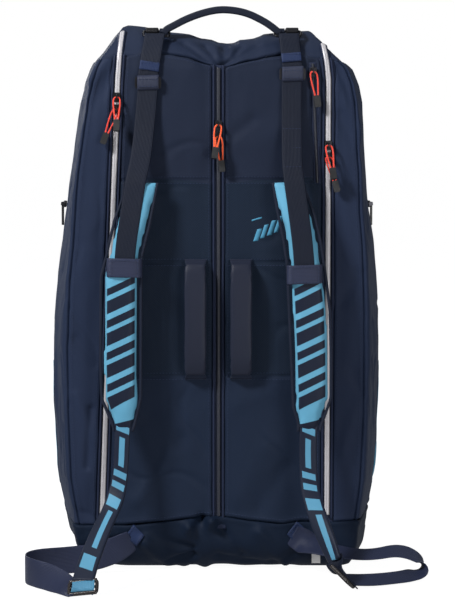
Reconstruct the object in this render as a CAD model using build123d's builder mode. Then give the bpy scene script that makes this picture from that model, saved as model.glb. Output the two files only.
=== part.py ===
"""Racket tournament bag, standing upright on its wide end.

Millimetres. +Z is up, +X is to the right of someone facing the zipped front, and the front
faces -Y. The origin is on the floor under the middle of the bag.
"""

from math import atan, cos, degrees, pi, radians, sin, tan
import os

from build123d import *

# ---------------------------------------------------------------- driving dimensions
HEIGHT = 760
FRONT = 150  # the front face stands this far in front of the origin
BACK = 165
WALL = 4  # padded fabric
FRONT_INSET = 25  # the front and back faces are this much narrower, each side
BOTTOM_SEAM = 72
TOP_SEAM = 720
BOTTOM_ROUND = 50
TOP_ROUND = 60
BACK_ROUND = 40
# seen from the side: front bottom, back bottom, back top, front top
SIDE_VIEW_ROUNDS = [BOTTOM_ROUND, BACK_ROUND, BACK_ROUND, TOP_ROUND]

TAPE_WIDTH = 17
COIL_WIDTH = 7
POCKET_TAPE_WIDTH = 10
POCKET_COIL_WIDTH = 4
DIVIDER_X = 76
BOARD_THICK = 3

WEB_WIDTH = 28
WEB_THICK = 2.2
LOWER_WEB_WIDTH = 38

RING_X = {"left": -84, "right": 98}
RING_WIRE = 3.6
RING_TILT = 52  # degrees above the horizontal, seen from the side
RING_STAND_OFF = 7.5
RING_BAR_GAP = 11
RING_INSIDE = 32

CORD = 2.4
FAR = 700  # longer than the bag, for cutting tools

# half the body's outline at its widest section: half width, height
OUTLINE = [
    (212, -40),
    (219, 37),
    (234, 131),
    (238, 320),
    (228, 460),
    (213, 578),
    (203, 660),
    (192, 705),
    (128, 780),
    (128, 800),
]

# straight zip tracks: top end and bottom end, as x and z
CENTRE_ZIP = [(2, 708), (2, 84)]
LEFT_ZIP = [(-136, 716), (-161, 84)]
RIGHT_ZIP = [(154, 716), (154, 84)]
POCKET_ZIP = [(132, 712), (139, 545)]

os.makedirs("parts", exist_ok=True)


def save(piece, name):
    """Label a finished piece and write it to its own file."""
    piece.label = name
    export_step(piece, f"parts/{name}.step")


# ---------------------------------------------------------------- body shell
def body(shrink):
    """The closed bag, made smaller by shrink on every side."""
    outline = OUTLINE + [(-x, z) for x, z in reversed(OUTLINE)]
    with BuildPart() as solid:
        for depth, backwards in ((BACK - shrink, True), (FRONT - shrink, False)):
            with BuildSketch(Plane.XZ):
                Polygon(*outline, align=None)
                if shrink:
                    offset(amount=-shrink, kind=Kind.INTERSECTION)
            extrude(amount=depth, taper=Vector(depth, FRONT_INSET).get_angle(Vector(1, 0)))
            if backwards:
                mirror(about=Plane.XZ, mode=Mode.REPLACE)
        with BuildSketch(Plane.YZ):
            with BuildLine():
                FilletPolyline(
                    (shrink - FRONT, shrink),
                    (BACK - shrink, shrink),
                    (BACK - shrink, HEIGHT - shrink),
                    (shrink - FRONT, HEIGHT - shrink),
                    radius=[r - shrink for r in SIDE_VIEW_ROUNDS],
                    close=True,
                )
            make_face()
        extrude(amount=FAR, both=True, mode=Mode.INTERSECT)
    return solid.part


outer = body(0)
inner = body(WALL)
with BuildPart() as shell:
    add(outer)
    add(inner, mode=Mode.SUBTRACT)


def shell_piece(name, low, high):
    """The stretch of the shell between two corners of a box."""
    with BuildPart() as piece:
        add(shell.part)
        size = [b - a for a, b in zip(low, high)]
        centre = [(a + b) / 2 for a, b in zip(low, high)]
        with Locations(tuple(centre)):
            Box(*size, mode=Mode.INTERSECT)
    save(piece.part, name)


shell_piece("bottom_panel", (-FAR, -FAR, -FAR), (FAR, FAR, BOTTOM_SEAM))
shell_piece("top_panel", (-FAR, -FAR, TOP_SEAM), (FAR, FAR, HEIGHT + FAR))
shell_piece("back_panel", (-FAR, BACK - WALL, BOTTOM_SEAM), (FAR, FAR, TOP_SEAM))
for side, low_x, high_x in (("left", -FAR, 0), ("right", 0, FAR)):
    shell_piece(
        f"side_panel_{side}",
        (low_x, WALL - FRONT, BOTTOM_SEAM),
        (high_x, BACK - WALL, TOP_SEAM),
    )


def along(track, z):
    """The x of a track at a height."""
    (top_x, top_z), (bottom_x, bottom_z) = track
    return top_x + (bottom_x - top_x) * (z - top_z) / (bottom_z - top_z)


def edge_line(track, shift):
    """Two points on a track's edge, at the bottom seam and at the top seam."""
    return [(along(track, z) + shift, z) for z in (BOTTOM_SEAM, TOP_SEAM)]


def track_outline(track, width):
    """The four corners of a slanted rectangle along a track."""
    (top_x, top_z), (bottom_x, bottom_z) = track
    half = width / 2
    return [
        (top_x - half, top_z),
        (top_x + half, top_z),
        (bottom_x + half, bottom_z),
        (bottom_x - half, bottom_z),
    ]


def front_piece(name, left_edge, right_edge, slot=None):
    """A flat panel of the front face between two edges, with a slot for a zip if it has one."""
    with BuildPart() as piece:
        add(shell.part)
        with BuildSketch(Plane.XZ.offset(FRONT - WALL)):
            Polygon(*left_edge, *reversed(right_edge), align=None)
        extrude(amount=WALL, mode=Mode.INTERSECT)
        if slot:
            with BuildSketch(Plane.XZ.offset(FRONT - WALL)):
                Polygon(*slot, align=None)
            extrude(amount=WALL, mode=Mode.SUBTRACT)
    save(piece.part, name)


outer_left = [(-FAR, BOTTOM_SEAM), (-FAR, TOP_SEAM)]
outer_right = [(FAR, BOTTOM_SEAM), (FAR, TOP_SEAM)]
half_tape = TAPE_WIDTH / 2
front_piece("front_strip_left", outer_left, edge_line(LEFT_ZIP, -half_tape))
front_piece("front_panel_left", edge_line(LEFT_ZIP, half_tape), edge_line(CENTRE_ZIP, -half_tape))
front_piece(
    "front_panel_right",
    edge_line(CENTRE_ZIP, half_tape),
    edge_line(RIGHT_ZIP, -half_tape),
    slot=track_outline(POCKET_ZIP, POCKET_TAPE_WIDTH),
)
front_piece("front_strip_right", edge_line(RIGHT_ZIP, half_tape), outer_right)


# ---------------------------------------------------------------- inside
with BuildPart() as base_board:
    with Locations((0, 5, WALL + BOARD_THICK / 2)):
        Box(380, 200, BOARD_THICK)
save(base_board.part, "base_board")

with BuildPart() as dividers:
    for x in (-DIVIDER_X, DIVIDER_X - 3):
        with BuildSketch(Plane.YZ.offset(x)):
            with Locations(((BACK - FRONT) / 2, HEIGHT / 2 + 2)):
                RectangleRounded(BACK + FRONT - 2 * WALL - 2, HEIGHT - 2 * WALL - 10, TOP_ROUND - WALL)
        extrude(amount=3)
save(dividers.part, "dividers")


# ---------------------------------------------------------------- zips
def zip_strip(track, width, coil):
    """A zip's tape behind the face, with its coil standing a little proud."""
    with BuildPart() as strip:
        with BuildSketch(Plane.XZ.offset(FRONT - 3)):
            Polygon(*track_outline(track, width), align=None)
        extrude(amount=2)
        with BuildSketch(Plane.XZ.offset(FRONT - 1)):
            Polygon(*track_outline(track, coil), align=None)
        extrude(amount=2.2)
    return strip.part


def full_length(track):
    """The track carried on to both seams."""
    return [(along(track, z), z) for z in (TOP_SEAM, BOTTOM_SEAM)]


for name, track in (("centre", CENTRE_ZIP), ("left", LEFT_ZIP), ("right", RIGHT_ZIP)):
    save(zip_strip(full_length(track), TAPE_WIDTH, COIL_WIDTH), f"zip_{name}")

# the side pocket zips run level round the back half of each side panel
SIDE_ZIP_Z = 512
SIDE_ZIP_RUN = (6, 140)
BACK_TURN = Vector(BACK, FRONT_INSET).get_angle(Vector(1, 0))
# the outline's run that the side zips cross: half width and height at its lower and upper end
SIDE_RUN_LOW = OUTLINE[4]
SIDE_RUN_HIGH = OUTLINE[5]
SIDE_SLOPE = (SIDE_RUN_LOW[0] - SIDE_RUN_HIGH[0]) / (SIDE_RUN_HIGH[1] - SIDE_RUN_LOW[1])


def side_plane(sign, y):
    """A plane on the outside of a side panel: x towards the back, z outwards."""
    at_middle = SIDE_RUN_LOW[0] - (SIDE_ZIP_Z - SIDE_RUN_LOW[1]) * SIDE_SLOPE
    turn = radians(BACK_TURN)
    lean = atan(SIDE_SLOPE)
    back = Vector(-sign * sin(turn), cos(turn), 0)
    out = Vector(sign * cos(turn) * cos(lean), sin(turn) * cos(lean), sin(lean))
    start = Vector(sign * at_middle, 0, SIDE_ZIP_Z)
    return Plane(origin=start + back * y, x_dir=back, z_dir=out)


with BuildPart() as pocket_zips:
    add(zip_strip(POCKET_ZIP, POCKET_TAPE_WIDTH - 1, POCKET_COIL_WIDTH))
    for sign in (-1, 1):
        middle = (SIDE_ZIP_RUN[0] + SIDE_ZIP_RUN[1]) / 2
        with BuildSketch(side_plane(sign, middle).offset(0.2)):
            Rectangle(SIDE_ZIP_RUN[1] - SIDE_ZIP_RUN[0], 14)
        extrude(amount=1)
        with BuildSketch(side_plane(sign, middle).offset(1.2)):
            Rectangle(SIDE_ZIP_RUN[1] - SIDE_ZIP_RUN[0], 4)
        extrude(amount=1)
save(pocket_zips.part, "pocket_zips")


# ---------------------------------------------------------------- rings and sewn webbing tabs
ring_out = Vector(0, -cos(radians(RING_TILT)), sin(radians(RING_TILT)))
ring_down = Vector(0, -sin(radians(RING_TILT)), -cos(radians(RING_TILT)))
round_centre = Vector(0, TOP_ROUND - FRONT, HEIGHT - TOP_ROUND)
ring_centre = round_centre + ring_out * (TOP_ROUND + RING_STAND_OFF)
lower_bar = ring_centre + ring_down * (RING_BAR_GAP / 2)
upper_bar = ring_centre - ring_down * (RING_BAR_GAP / 2)
loop_inside = RING_WIRE / 2 + 0.4
loop_outside = loop_inside + WEB_THICK

with BuildPart() as rings:
    for x in RING_X.values():
        ring_plane = Plane(origin=Vector(x, 0, 0) + ring_centre, x_dir=(1, 0, 0), z_dir=ring_out)
        with BuildSketch(ring_plane, mode=Mode.PRIVATE) as ring_shape:
            RectangleRounded(RING_INSIDE + RING_WIRE, RING_BAR_GAP, 3)
        wire = ring_shape.sketch.face().outer_wire()
        with BuildSketch(Plane(origin=wire @ 0, z_dir=wire % 0)):
            Circle(RING_WIRE / 2)
        sweep(path=wire)
save(rings.part, "rings")


def bar_loop(bar, x_low, width):
    """Webbing wrapped round a bar that runs along X."""
    with BuildPart() as loop:
        with BuildSketch(Plane.YZ.offset(x_low)):
            with Locations((bar.Y, bar.Z)):
                Circle(loop_outside)
                Circle(loop_inside, mode=Mode.SUBTRACT)
        extrude(amount=width)
    return loop.part


TAB_WIDTH = 17
HANDLE_LOOP = 11
GRIP_X = {"left": -29.7, "right": 33.3}
GRIP_TOP = 436
GRIP_BOTTOM = 279
GRIP_TAB_TALL = 10
GRIP_TAB_WIDE = 26
GRIP_TAB_THICK = 3
ANCHOR_X = (-121, 114)
ANCHOR_Z = 60
ANCHOR_WIDE = 34
ANCHOR_TALL = 20
ANCHOR_THICK = 2

with BuildPart() as webbing_tabs:
    for side, x in RING_X.items():
        outward = -1 if side == "left" else 1
        tab_low = x + outward * (RING_INSIDE / 2 - 1) - (TAB_WIDTH if outward > 0 else 0)
        add(bar_loop(upper_bar, tab_low, TAB_WIDTH))
        with BuildSketch(Plane.YZ.offset(tab_low)):
            Polygon(
                (upper_bar.Y + loop_inside * 0.3, upper_bar.Z + loop_inside),
                (upper_bar.Y + loop_inside * 0.3, upper_bar.Z + loop_outside),
                (-104, HEIGHT + WEB_THICK + 0.4),
                (-62, HEIGHT + WEB_THICK),
                (-62, HEIGHT),
                (-104, HEIGHT + 0.1),
                align=None,
            )
        extrude(amount=TAB_WIDTH)
    for x in GRIP_X.values():
        for z in (GRIP_TOP + GRIP_TAB_TALL / 2 + 1, GRIP_BOTTOM - GRIP_TAB_TALL / 2 - 1):
            with Locations((x, -FRONT - GRIP_TAB_THICK / 2, z)):
                Box(GRIP_TAB_WIDE, GRIP_TAB_THICK, GRIP_TAB_TALL)
    for x in ANCHOR_X:
        with Locations((x, -FRONT - ANCHOR_THICK / 2, ANCHOR_Z)):
            Box(ANCHOR_WIDE, ANCHOR_THICK, ANCHOR_TALL)
save(webbing_tabs.part, "webbing_tabs")

with BuildPart() as care_tag:
    with Locations((139, -FRONT - 0.4, 22)):
        Box(12, 0.8, 17)
save(care_tag.part, "care_tag")


# ---------------------------------------------------------------- top handle and grips
HANDLE_PEAK = (8, 786)

with BuildPart() as top_handle:
    left_x = RING_X["left"] + RING_INSIDE / 2 - 1
    right_x = RING_X["right"] - RING_INSIDE / 2 + 1
    with BuildLine(Plane.XZ.offset(-upper_bar.Y)) as arch:
        ThreePointArc(
            (left_x - 1, upper_bar.Z + 7),
            HANDLE_PEAK,
            (right_x + 1, upper_bar.Z + 7),
        )
    with BuildSketch(Plane(origin=arch.line @ 0, x_dir=(0, 1, 0), z_dir=arch.line % 0)):
        RectangleRounded(13, 8, 3)
    sweep(path=arch.line)
    for x_low in (left_x - HANDLE_LOOP, right_x):
        add(bar_loop(upper_bar, x_low, HANDLE_LOOP))
        with Locations((x_low + HANDLE_LOOP / 2, upper_bar.Y, upper_bar.Z + 6)):
            Box(HANDLE_LOOP, 6, 5)
save(top_handle.part, "top_handle")

GRIP_HALF = 16.2
GRIP_END_HALF = 12
GRIP_THICK = 9
grip_back = [(-160.5, GRIP_TOP - 1), (-168, 415), (-168, 300), (-160.5, GRIP_BOTTOM + 1)]


def band(back_points, thickness):
    """A strap's side view: its back surface, and its front surface moved forwards."""
    front_points = [(y - thickness, z) for y, z in back_points]
    return back_points + list(reversed(front_points))


def strap_piece(side_view, front_view):
    """A flat soft piece: one outline seen from the side, cut by one seen from the front."""
    with BuildPart() as piece:
        with BuildSketch(Plane.YZ):
            Polygon(*side_view, align=None)
        extrude(amount=FAR, both=True)
        with BuildSketch(Plane.XZ):
            Polygon(*front_view, align=None)
        extrude(amount=FAR, both=True, mode=Mode.INTERSECT)
    return piece.part


for side, x in GRIP_X.items():
    half_view = [
        (GRIP_END_HALF, GRIP_BOTTOM),
        (GRIP_HALF, 298),
        (GRIP_HALF, 417),
        (GRIP_END_HALF, GRIP_TOP),
    ]
    front_view = [(x + w, z) for w, z in half_view] + [(x - w, z) for w, z in reversed(half_view)]
    save(strap_piece(band(grip_back, GRIP_THICK), front_view), f"grip_{side}")


# ---------------------------------------------------------------- shoulder straps
# the pad's back surface from its top down to the buckle, with its thickness at each point
PAD_SIDE = {
    "left": [
        (-170, 552, 12),
        (-177, 500, 12),
        (-181, 440, 12),
        (-183, 300, 12),
        (-185, 228, 12),
        (-191, 198, 5),
        (-197, 150, 5),
        (-210, 110, 5),
        (-248, 78, 5),
        (-309, 28, 5),
    ],
    "right": [
        (-170, 552, 12),
        (-177, 500, 12),
        (-181, 440, 12),
        (-183, 300, 12),
        (-185, 228, 12),
        (-191, 198, 5),
        (-197, 150, 5),
        (-210, 116, 5),
        (-232, 72, 5),
        (-250, 36, 5),
    ],
}
# the pad seen from the front, down its inner edge and back up its outer edge
PAD_FRONT = {
    "left": [
        (-81, 552),
        (-93, 488),
        (-104, 445),
        (-105, 252),
        (-114, 214),
        (-121, 195),
        (-122, 154),
        (-127, 115),
        (-136, 79),
        (-151, 61),
        (-160, 45),
        (-161, 20),
        (-193, 20),
        (-184, 54),
        (-175, 81),
        (-152, 114),
        (-142, 154),
        (-140, 195),
        (-143, 214),
        (-160, 252),
        (-160, 420),
        (-152, 445),
        (-139, 498),
        (-129, 527),
        (-127, 552),
    ],
    "right": [
        (77, 549),
        (82, 514),
        (91, 471),
        (96, 439),
        (103, 292),
        (105, 240),
        (112, 219),
        (112, 187),
        (115, 126),
        (115, 99),
        (135, 64),
        (154, 33),
        (172, 33),
        (164, 61),
        (152, 88),
        (139, 126),
        (138, 187),
        (143, 214),
        (157, 252),
        (157, 310),
        (150, 420),
        (143, 463),
        (135, 498),
        (122, 534),
        (114, 549),
    ],
}
UPPER_WEB_X = {"left": [(-84, 765), (-95, 694)], "right": [(98, 765), (104, 706)]}
LONG_WEB_X = {
    "left": [(-95, 676), (-104, 582), (-111, 553), (-126, 455), (-127, 414)],
    "right": [(103, 688), (103, 568), (108, 535), (118, 459), (121, 404)],
}
BUCKLE_Z = {"left": 685, "right": 697}
PATCH = {"left": (-127, 432), "right": (120, 423)}
LONG_WEB_SIDE = [
    (-156.5, 690),
    (-158, 640),
    (-167, 597),
    (-182.3, 554),
    (-189.3, 500),
    (-193.4, 440),
    (-194.2, 398),
]


def webbing_view(centre_line, width):
    """A webbing strap seen from the front, along a centre line of x and z."""
    right = [(x + width / 2, z) for x, z in centre_line]
    left = [(x - width / 2, z) for x, z in reversed(centre_line)]
    return right + left


for side in ("left", "right"):
    ring_x = RING_X[side]
    with BuildPart() as upper_webbing:
        upper_side = [
            (lower_bar.Y - 2, lower_bar.Z - 3),
            (-147.5, 732),
            (-153, 708),
            (-154, UPPER_WEB_X[side][1][1]),
        ]
        add(strap_piece(band(upper_side, WEB_THICK), webbing_view(UPPER_WEB_X[side], WEB_WIDTH)))
        add(bar_loop(lower_bar, ring_x - WEB_WIDTH / 2, WEB_WIDTH))
    save(upper_webbing.part, f"upper_webbing_{side}")

    long_webbing = strap_piece(
        band(LONG_WEB_SIDE, WEB_THICK), webbing_view(LONG_WEB_X[side], WEB_WIDTH)
    )
    save(long_webbing, f"long_webbing_{side}")

    buckle_x = UPPER_WEB_X[side][1][0]
    with BuildPart() as bar_buckle:
        with BuildSketch(Plane.XZ.offset(155)):
            with Locations((buckle_x, BUCKLE_Z[side])):
                RectangleRounded(36, 16, 3)
                with Locations((0, 3.6), (0, -3.6)):
                    Rectangle(29, 3.4, mode=Mode.SUBTRACT)
        extrude(amount=3.4)
    save(bar_buckle.part, f"bar_buckle_{side}")

    pad_back = [(y, z) for y, z, thick in PAD_SIDE[side]]
    pad_face = [(y - thick, z) for y, z, thick in reversed(PAD_SIDE[side])]
    save(strap_piece(pad_back + pad_face, PAD_FRONT[side]), f"shoulder_pad_{side}")

    patch_x, patch_z = PATCH[side]
    with BuildPart() as cross_patch:
        with Locations((patch_x, -197.8, patch_z)):
            Box(43, 1.8, 26)
    save(cross_patch.part, f"cross_patch_{side}")


def ladder_lock(name, plane):
    """A moulded buckle with two slots, its bars along the plane's x."""
    with BuildPart() as buckle:
        with BuildSketch(plane):
            RectangleRounded(42, 24, 4)
            with Locations((0, 5), (0, -5)):
                Rectangle(33, 5.5, mode=Mode.SUBTRACT)
        extrude(amount=2.5, both=True)
    save(buckle.part, name)


ladder_lock(
    "ladder_lock_left",
    Plane(origin=(-177, -322, 17), x_dir=(1, -0.1, 0.12), z_dir=(0.1, -0.64, 0.76)),
)
lock_bar = Vector(0.52, -0.68, -0.42)
lock_length = Vector(0.45, 0.74, -0.50)
ladder_lock(
    "ladder_lock_right",
    Plane(origin=(169, -266, 19.5), x_dir=lock_bar, z_dir=lock_bar.cross(lock_length)),
)

# lower webbing: on the left it stands on edge, on the right it lies flat in an upright loop
with BuildPart() as lower_webbing_left:
    with BuildSketch(Plane.XY.offset(0.8)):
        with BuildLine():
            FilletPolyline(
                (-119, -157),
                (-206, -164),
                (-262, -182),
                (-266, -234),
                (-226, -262),
                (-203, -300),
                radius=14,
            )
        trace(line_width=WEB_THICK)
    extrude(amount=LOWER_WEB_WIDTH)
save(lower_webbing_left.part, "lower_webbing_left")

WEB_FRONT = -156 - LOWER_WEB_WIDTH
with BuildPart() as lower_webbing_right:
    with BuildSketch(Plane.XZ.offset(156)):
        with BuildLine():
            FilletPolyline(
                (120, 46),
                (168, 34),
                (212, 28),
                (252, 38),
                (292, 26),
                (292, 2.1),
                (230, 2.1),
                radius=9,
            )
        trace(line_width=WEB_THICK)
    extrude(amount=LOWER_WEB_WIDTH)
    with BuildSketch(Plane.XY.offset(1)):
        Polygon(
            (234, -156),
            (234, WEB_FRONT),
            (214, -214),
            (204, -268),
            (194, -252),
            (192, -222),
            (206, -180),
            align=None,
        )
    extrude(amount=WEB_THICK)
save(lower_webbing_right.part, "lower_webbing_right")


# ---------------------------------------------------------------- zip sliders and pulls
SLIDER_GAP = 0.4
EYE_OUT = 157.8  # the eye's centre, in front of the origin
# a cord loop from one side of the moulded end through the eye and back to the other side
LOOP = [
    (-1.7, -35),
    (-3.4, -22.5),
    (-4.9, -9.5),
    (-4.2, 0),
    (4.2, 0),
    (4.9, -9.5),
    (3.4, -22.5),
    (1.7, -35),
]
END_TOP = -32.5
END_TALL = 16
END_WIDE = 8.6
END_THICK = 5.6
LEAN_DROP = 35  # a pull's sideways lean is measured this far below the eye


def front_slider(name, x, z):
    """A zip slider with a raised eye for the pull."""
    with BuildPart() as slider:
        with BuildSketch(Plane.XZ.offset(FRONT + 1.2 + SLIDER_GAP)):
            with Locations((x, z)):
                RectangleRounded(9.5, 13, 2.5)
        extrude(amount=3)
        with BuildSketch(Plane.YZ.offset(x - 1)):
            with Locations((-EYE_OUT + 0.6, z)):
                RectangleRounded(7.6, 8, 2.4)
            with Locations((-EYE_OUT, z)):
                Circle(CORD / 2 + 0.45, mode=Mode.SUBTRACT)
        extrude(amount=2)
    save(slider.part, name)


def bend_radii(points):
    """One radius for each corner, as large as its two runs allow."""
    radii = []
    for before, at, after in zip(points, points[1:], points[2:]):
        come = Vector(*at) - Vector(*before)
        go = Vector(*after) - Vector(*at)
        turn = radians(come.get_angle(go))
        radii.append(0.45 * min(come.length, go.length) / tan(turn / 2))
    return radii


def front_pull(name, x, z, lean, lift):
    """A cord loop and its moulded end, hanging from a slider's eye.

    lean moves the end sideways, in millimetres; lift tips the pull away from the face, in degrees.
    """
    hang = Plane(
        origin=(x, -EYE_OUT, z),
        x_dir=(1, 0, 0),
        z_dir=(0, -cos(radians(lift)), sin(radians(lift))),
    )
    route = [(u - lean * v / LEAN_DROP, v) for u, v in LOOP]
    radii = bend_radii(route)
    with BuildPart() as cord:
        with BuildLine(hang) as path:
            FilletPolyline(*route, radius=radii)
        with BuildSketch(Plane(origin=path.line @ 0, z_dir=path.line % 0)):
            Circle(CORD / 2)
        sweep(path=path.line)
    length = path.wire().length
    section = pi * (CORD / 2) ** 2
    print(f"{name}: radii {[round(r, 1) for r in radii]}, length {length:.1f},")
    print(f"    volume over section times length {cord.part.volume / (section * length):.3f}")
    save(cord.part, f"pull_cord_{name}")

    end_middle = END_TOP - END_TALL / 2
    with BuildPart() as end:
        with BuildSketch(hang):
            with Locations((-lean * end_middle / LEAN_DROP, end_middle)):
                RectangleRounded(END_WIDE, END_TALL, 2, rotation=degrees(atan(lean / LEAN_DROP)))
        extrude(amount=END_THICK / 2, both=True)
        add(cord.part, mode=Mode.SUBTRACT)
    save(end.part, f"pull_end_{name}")


# name, track, height, sideways lean of the pull, tip of the pull away from the face
PULLS = [
    ("centre_upper", CENTRE_ZIP, 627, -4, 17),
    ("centre_lower", CENTRE_ZIP, 611, 4, 3),
    ("left_upper", LEFT_ZIP, 665, 0, 17),
    ("left_lower", LEFT_ZIP, 649, -14, 3),
    ("right_upper", RIGHT_ZIP, 599, 5, 17),
    ("right_lower", RIGHT_ZIP, 583, 9, 3),
    ("pocket", POCKET_ZIP, 700, 5, 3),
]
for name, track, z, lean, lift in PULLS:
    front_slider(f"slider_{name}", along(track, z), z)
    front_pull(name, along(track, z), z, lean, lift)

for side, sign in (("left", -1), ("right", 1)):
    at = side_plane(sign, SIDE_ZIP_RUN[0] + 10)
    eye = at.offset(7.4)
    with BuildPart() as slider:
        with BuildSketch(at.offset(2.6)):
            RectangleRounded(13, 9.5, 2.5)
        extrude(amount=2.6)
        with BuildSketch(at.offset(4.6)):
            with Locations((-3.4, 0), (3.4, 0)):
                Rectangle(1.6, 5)
        extrude(amount=4.6)
        with BuildSketch(Plane(origin=eye.origin - at.x_dir * 4.2, z_dir=at.x_dir)):
            Circle(0.8)
        extrude(amount=8.4)
    save(slider.part, f"slider_side_{side}")
    with BuildPart() as pull:
        with BuildSketch(Plane(origin=eye.origin, x_dir=at.x_dir, z_dir=(at.z_dir.X, at.z_dir.Y, 0))):
            # the plane's y points down on the left side and up on the right
            with Locations((0, -sign * 15)):
                RectangleRounded(4.6, 33, 2)
        extrude(amount=1.4, both=True)
        with BuildSketch(Plane(origin=eye.origin - at.x_dir * 4.2, z_dir=at.x_dir)):
            Circle(0.9)
        extrude(amount=8.4, mode=Mode.SUBTRACT)
    save(pull.part, f"pull_side_{side}")
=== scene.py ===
"""Looks of the racket tournament bag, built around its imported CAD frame.

Shapes are worked out in millimetres, in the frame of the CAD model, and become metres when a mesh
is made. +Z is up and the front faces -Y.
"""

import math

import bpy
import numpy as np
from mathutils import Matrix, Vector, noise
from mathutils.bvhtree import BVHTree


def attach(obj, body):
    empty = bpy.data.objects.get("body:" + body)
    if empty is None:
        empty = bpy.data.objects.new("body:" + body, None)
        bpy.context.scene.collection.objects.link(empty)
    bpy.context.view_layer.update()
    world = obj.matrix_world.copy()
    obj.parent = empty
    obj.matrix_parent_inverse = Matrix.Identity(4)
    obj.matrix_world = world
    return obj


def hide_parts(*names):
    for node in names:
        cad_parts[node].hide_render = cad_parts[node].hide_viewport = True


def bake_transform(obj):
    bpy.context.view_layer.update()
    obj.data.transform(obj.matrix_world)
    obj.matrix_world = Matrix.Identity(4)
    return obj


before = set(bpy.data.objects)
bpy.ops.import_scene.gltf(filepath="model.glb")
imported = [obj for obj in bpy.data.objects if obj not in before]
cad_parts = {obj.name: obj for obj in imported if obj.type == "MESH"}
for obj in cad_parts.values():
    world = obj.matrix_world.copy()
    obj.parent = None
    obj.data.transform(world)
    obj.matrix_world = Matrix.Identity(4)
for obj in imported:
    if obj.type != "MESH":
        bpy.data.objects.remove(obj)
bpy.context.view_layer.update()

MM = 0.001
FRONT = 150
BACK = 165


# ---------------------------------------------------------------- materials
def linear(red, green, blue):
    """A colour of 0 to 255 levels, as the shader's own linear values."""
    levels = [c / 255 for c in (red, green, blue)]
    return tuple(c / 12.92 if c < 0.04045 else ((c + 0.055) / 1.055) ** 2.4 for c in levels) + (1.0,)


class Finish:
    """A node material with helpers for its pattern."""

    def __init__(self, name, roughness=0.6, **settings):
        self.material = bpy.data.materials.new(name)
        self.material.use_nodes = True
        self.tree = self.material.node_tree
        self.shader = self.tree.nodes["Principled BSDF"]
        self.shader.inputs["Roughness"].default_value = roughness
        for key, value in settings.items():
            self.shader.inputs[key.replace("_", " ")].default_value = value
        self.coords = self.add("ShaderNodeTexCoord")

    def add(self, kind, **properties):
        node = self.tree.nodes.new(kind)
        for key, value in properties.items():
            setattr(node, key, value)
        return node

    def put(self, value, socket):
        """Link a socket, or set a plain value."""
        if isinstance(value, bpy.types.NodeSocket):
            self.tree.links.new(value, socket)
        else:
            socket.default_value = value

    def math(self, operation, *values):
        node = self.add("ShaderNodeMath", operation=operation)
        for value, socket in zip(values, node.inputs):
            self.put(value, socket)
        return node.outputs[0]

    def split(self, space):
        """The x, y and z of a coordinate space, in metres."""
        node = self.add("ShaderNodeSeparateXYZ")
        self.put(self.coords.outputs[space], node.inputs[0])
        return node.outputs

    def noise(self, space, scale, detail=2.0, stretch=(1, 1, 1)):
        mapping = self.add("ShaderNodeMapping")
        self.put(self.coords.outputs[space], mapping.inputs["Vector"])
        mapping.inputs["Scale"].default_value = stretch
        node = self.add("ShaderNodeTexNoise")
        self.put(mapping.outputs[0], node.inputs["Vector"])
        node.inputs["Scale"].default_value = scale
        node.inputs["Detail"].default_value = detail
        return node.outputs["Fac"]

    def wave(self, along, pitch, phase=0.0):
        """A rounded rib pattern from 0 to 1."""
        turns = self.math("MULTIPLY_ADD", along, 2 * math.pi / pitch, phase)
        return self.math("MULTIPLY_ADD", self.math("SINE", turns), 0.5, 0.5)

    def band(self, value, low, high, soft):
        """1 between low and high, with soft edges, and 0 outside."""
        up = self.add("ShaderNodeMapRange", interpolation_type="SMOOTHSTEP")
        down = self.add("ShaderNodeMapRange", interpolation_type="SMOOTHSTEP")
        for node, start, end in ((up, low - soft, low + soft), (down, high + soft, high - soft)):
            self.put(value, node.inputs["Value"])
            node.inputs["From Min"].default_value = start
            node.inputs["From Max"].default_value = end
        return self.math("MULTIPLY", up.outputs[0], down.outputs[0])

    def mix(self, amount, first, second):
        node = self.add("ShaderNodeMix", data_type="RGBA")
        self.put(amount, node.inputs[0])
        self.put(first, node.inputs[6])
        self.put(second, node.inputs[7])
        return node.outputs[2]

    def shade(self, colour, amount):
        """A colour made darker or lighter by a value around 1."""
        node = self.add("ShaderNodeMix", data_type="RGBA", blend_type="MULTIPLY")
        grey = self.add("ShaderNodeCombineColor")
        for socket in grey.inputs[:3]:
            self.put(amount, socket)
        node.inputs[0].default_value = 1.0
        self.put(colour, node.inputs[6])
        self.put(grey.outputs[0], node.inputs[7])
        return node.outputs[2]

    def colour(self, value):
        self.put(value, self.shader.inputs["Base Color"])

    def rough(self, value):
        self.put(value, self.shader.inputs["Roughness"])

    def bump(self, height, distance, strength=1.0):
        node = self.add("ShaderNodeBump")
        node.inputs["Distance"].default_value = distance
        node.inputs["Strength"].default_value = strength
        self.put(height, node.inputs["Height"])
        if self.shader.inputs["Normal"].is_linked:
            self.put(self.shader.inputs["Normal"].links[0].from_socket, node.inputs["Normal"])
        self.put(node.outputs[0], self.shader.inputs["Normal"])


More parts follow.
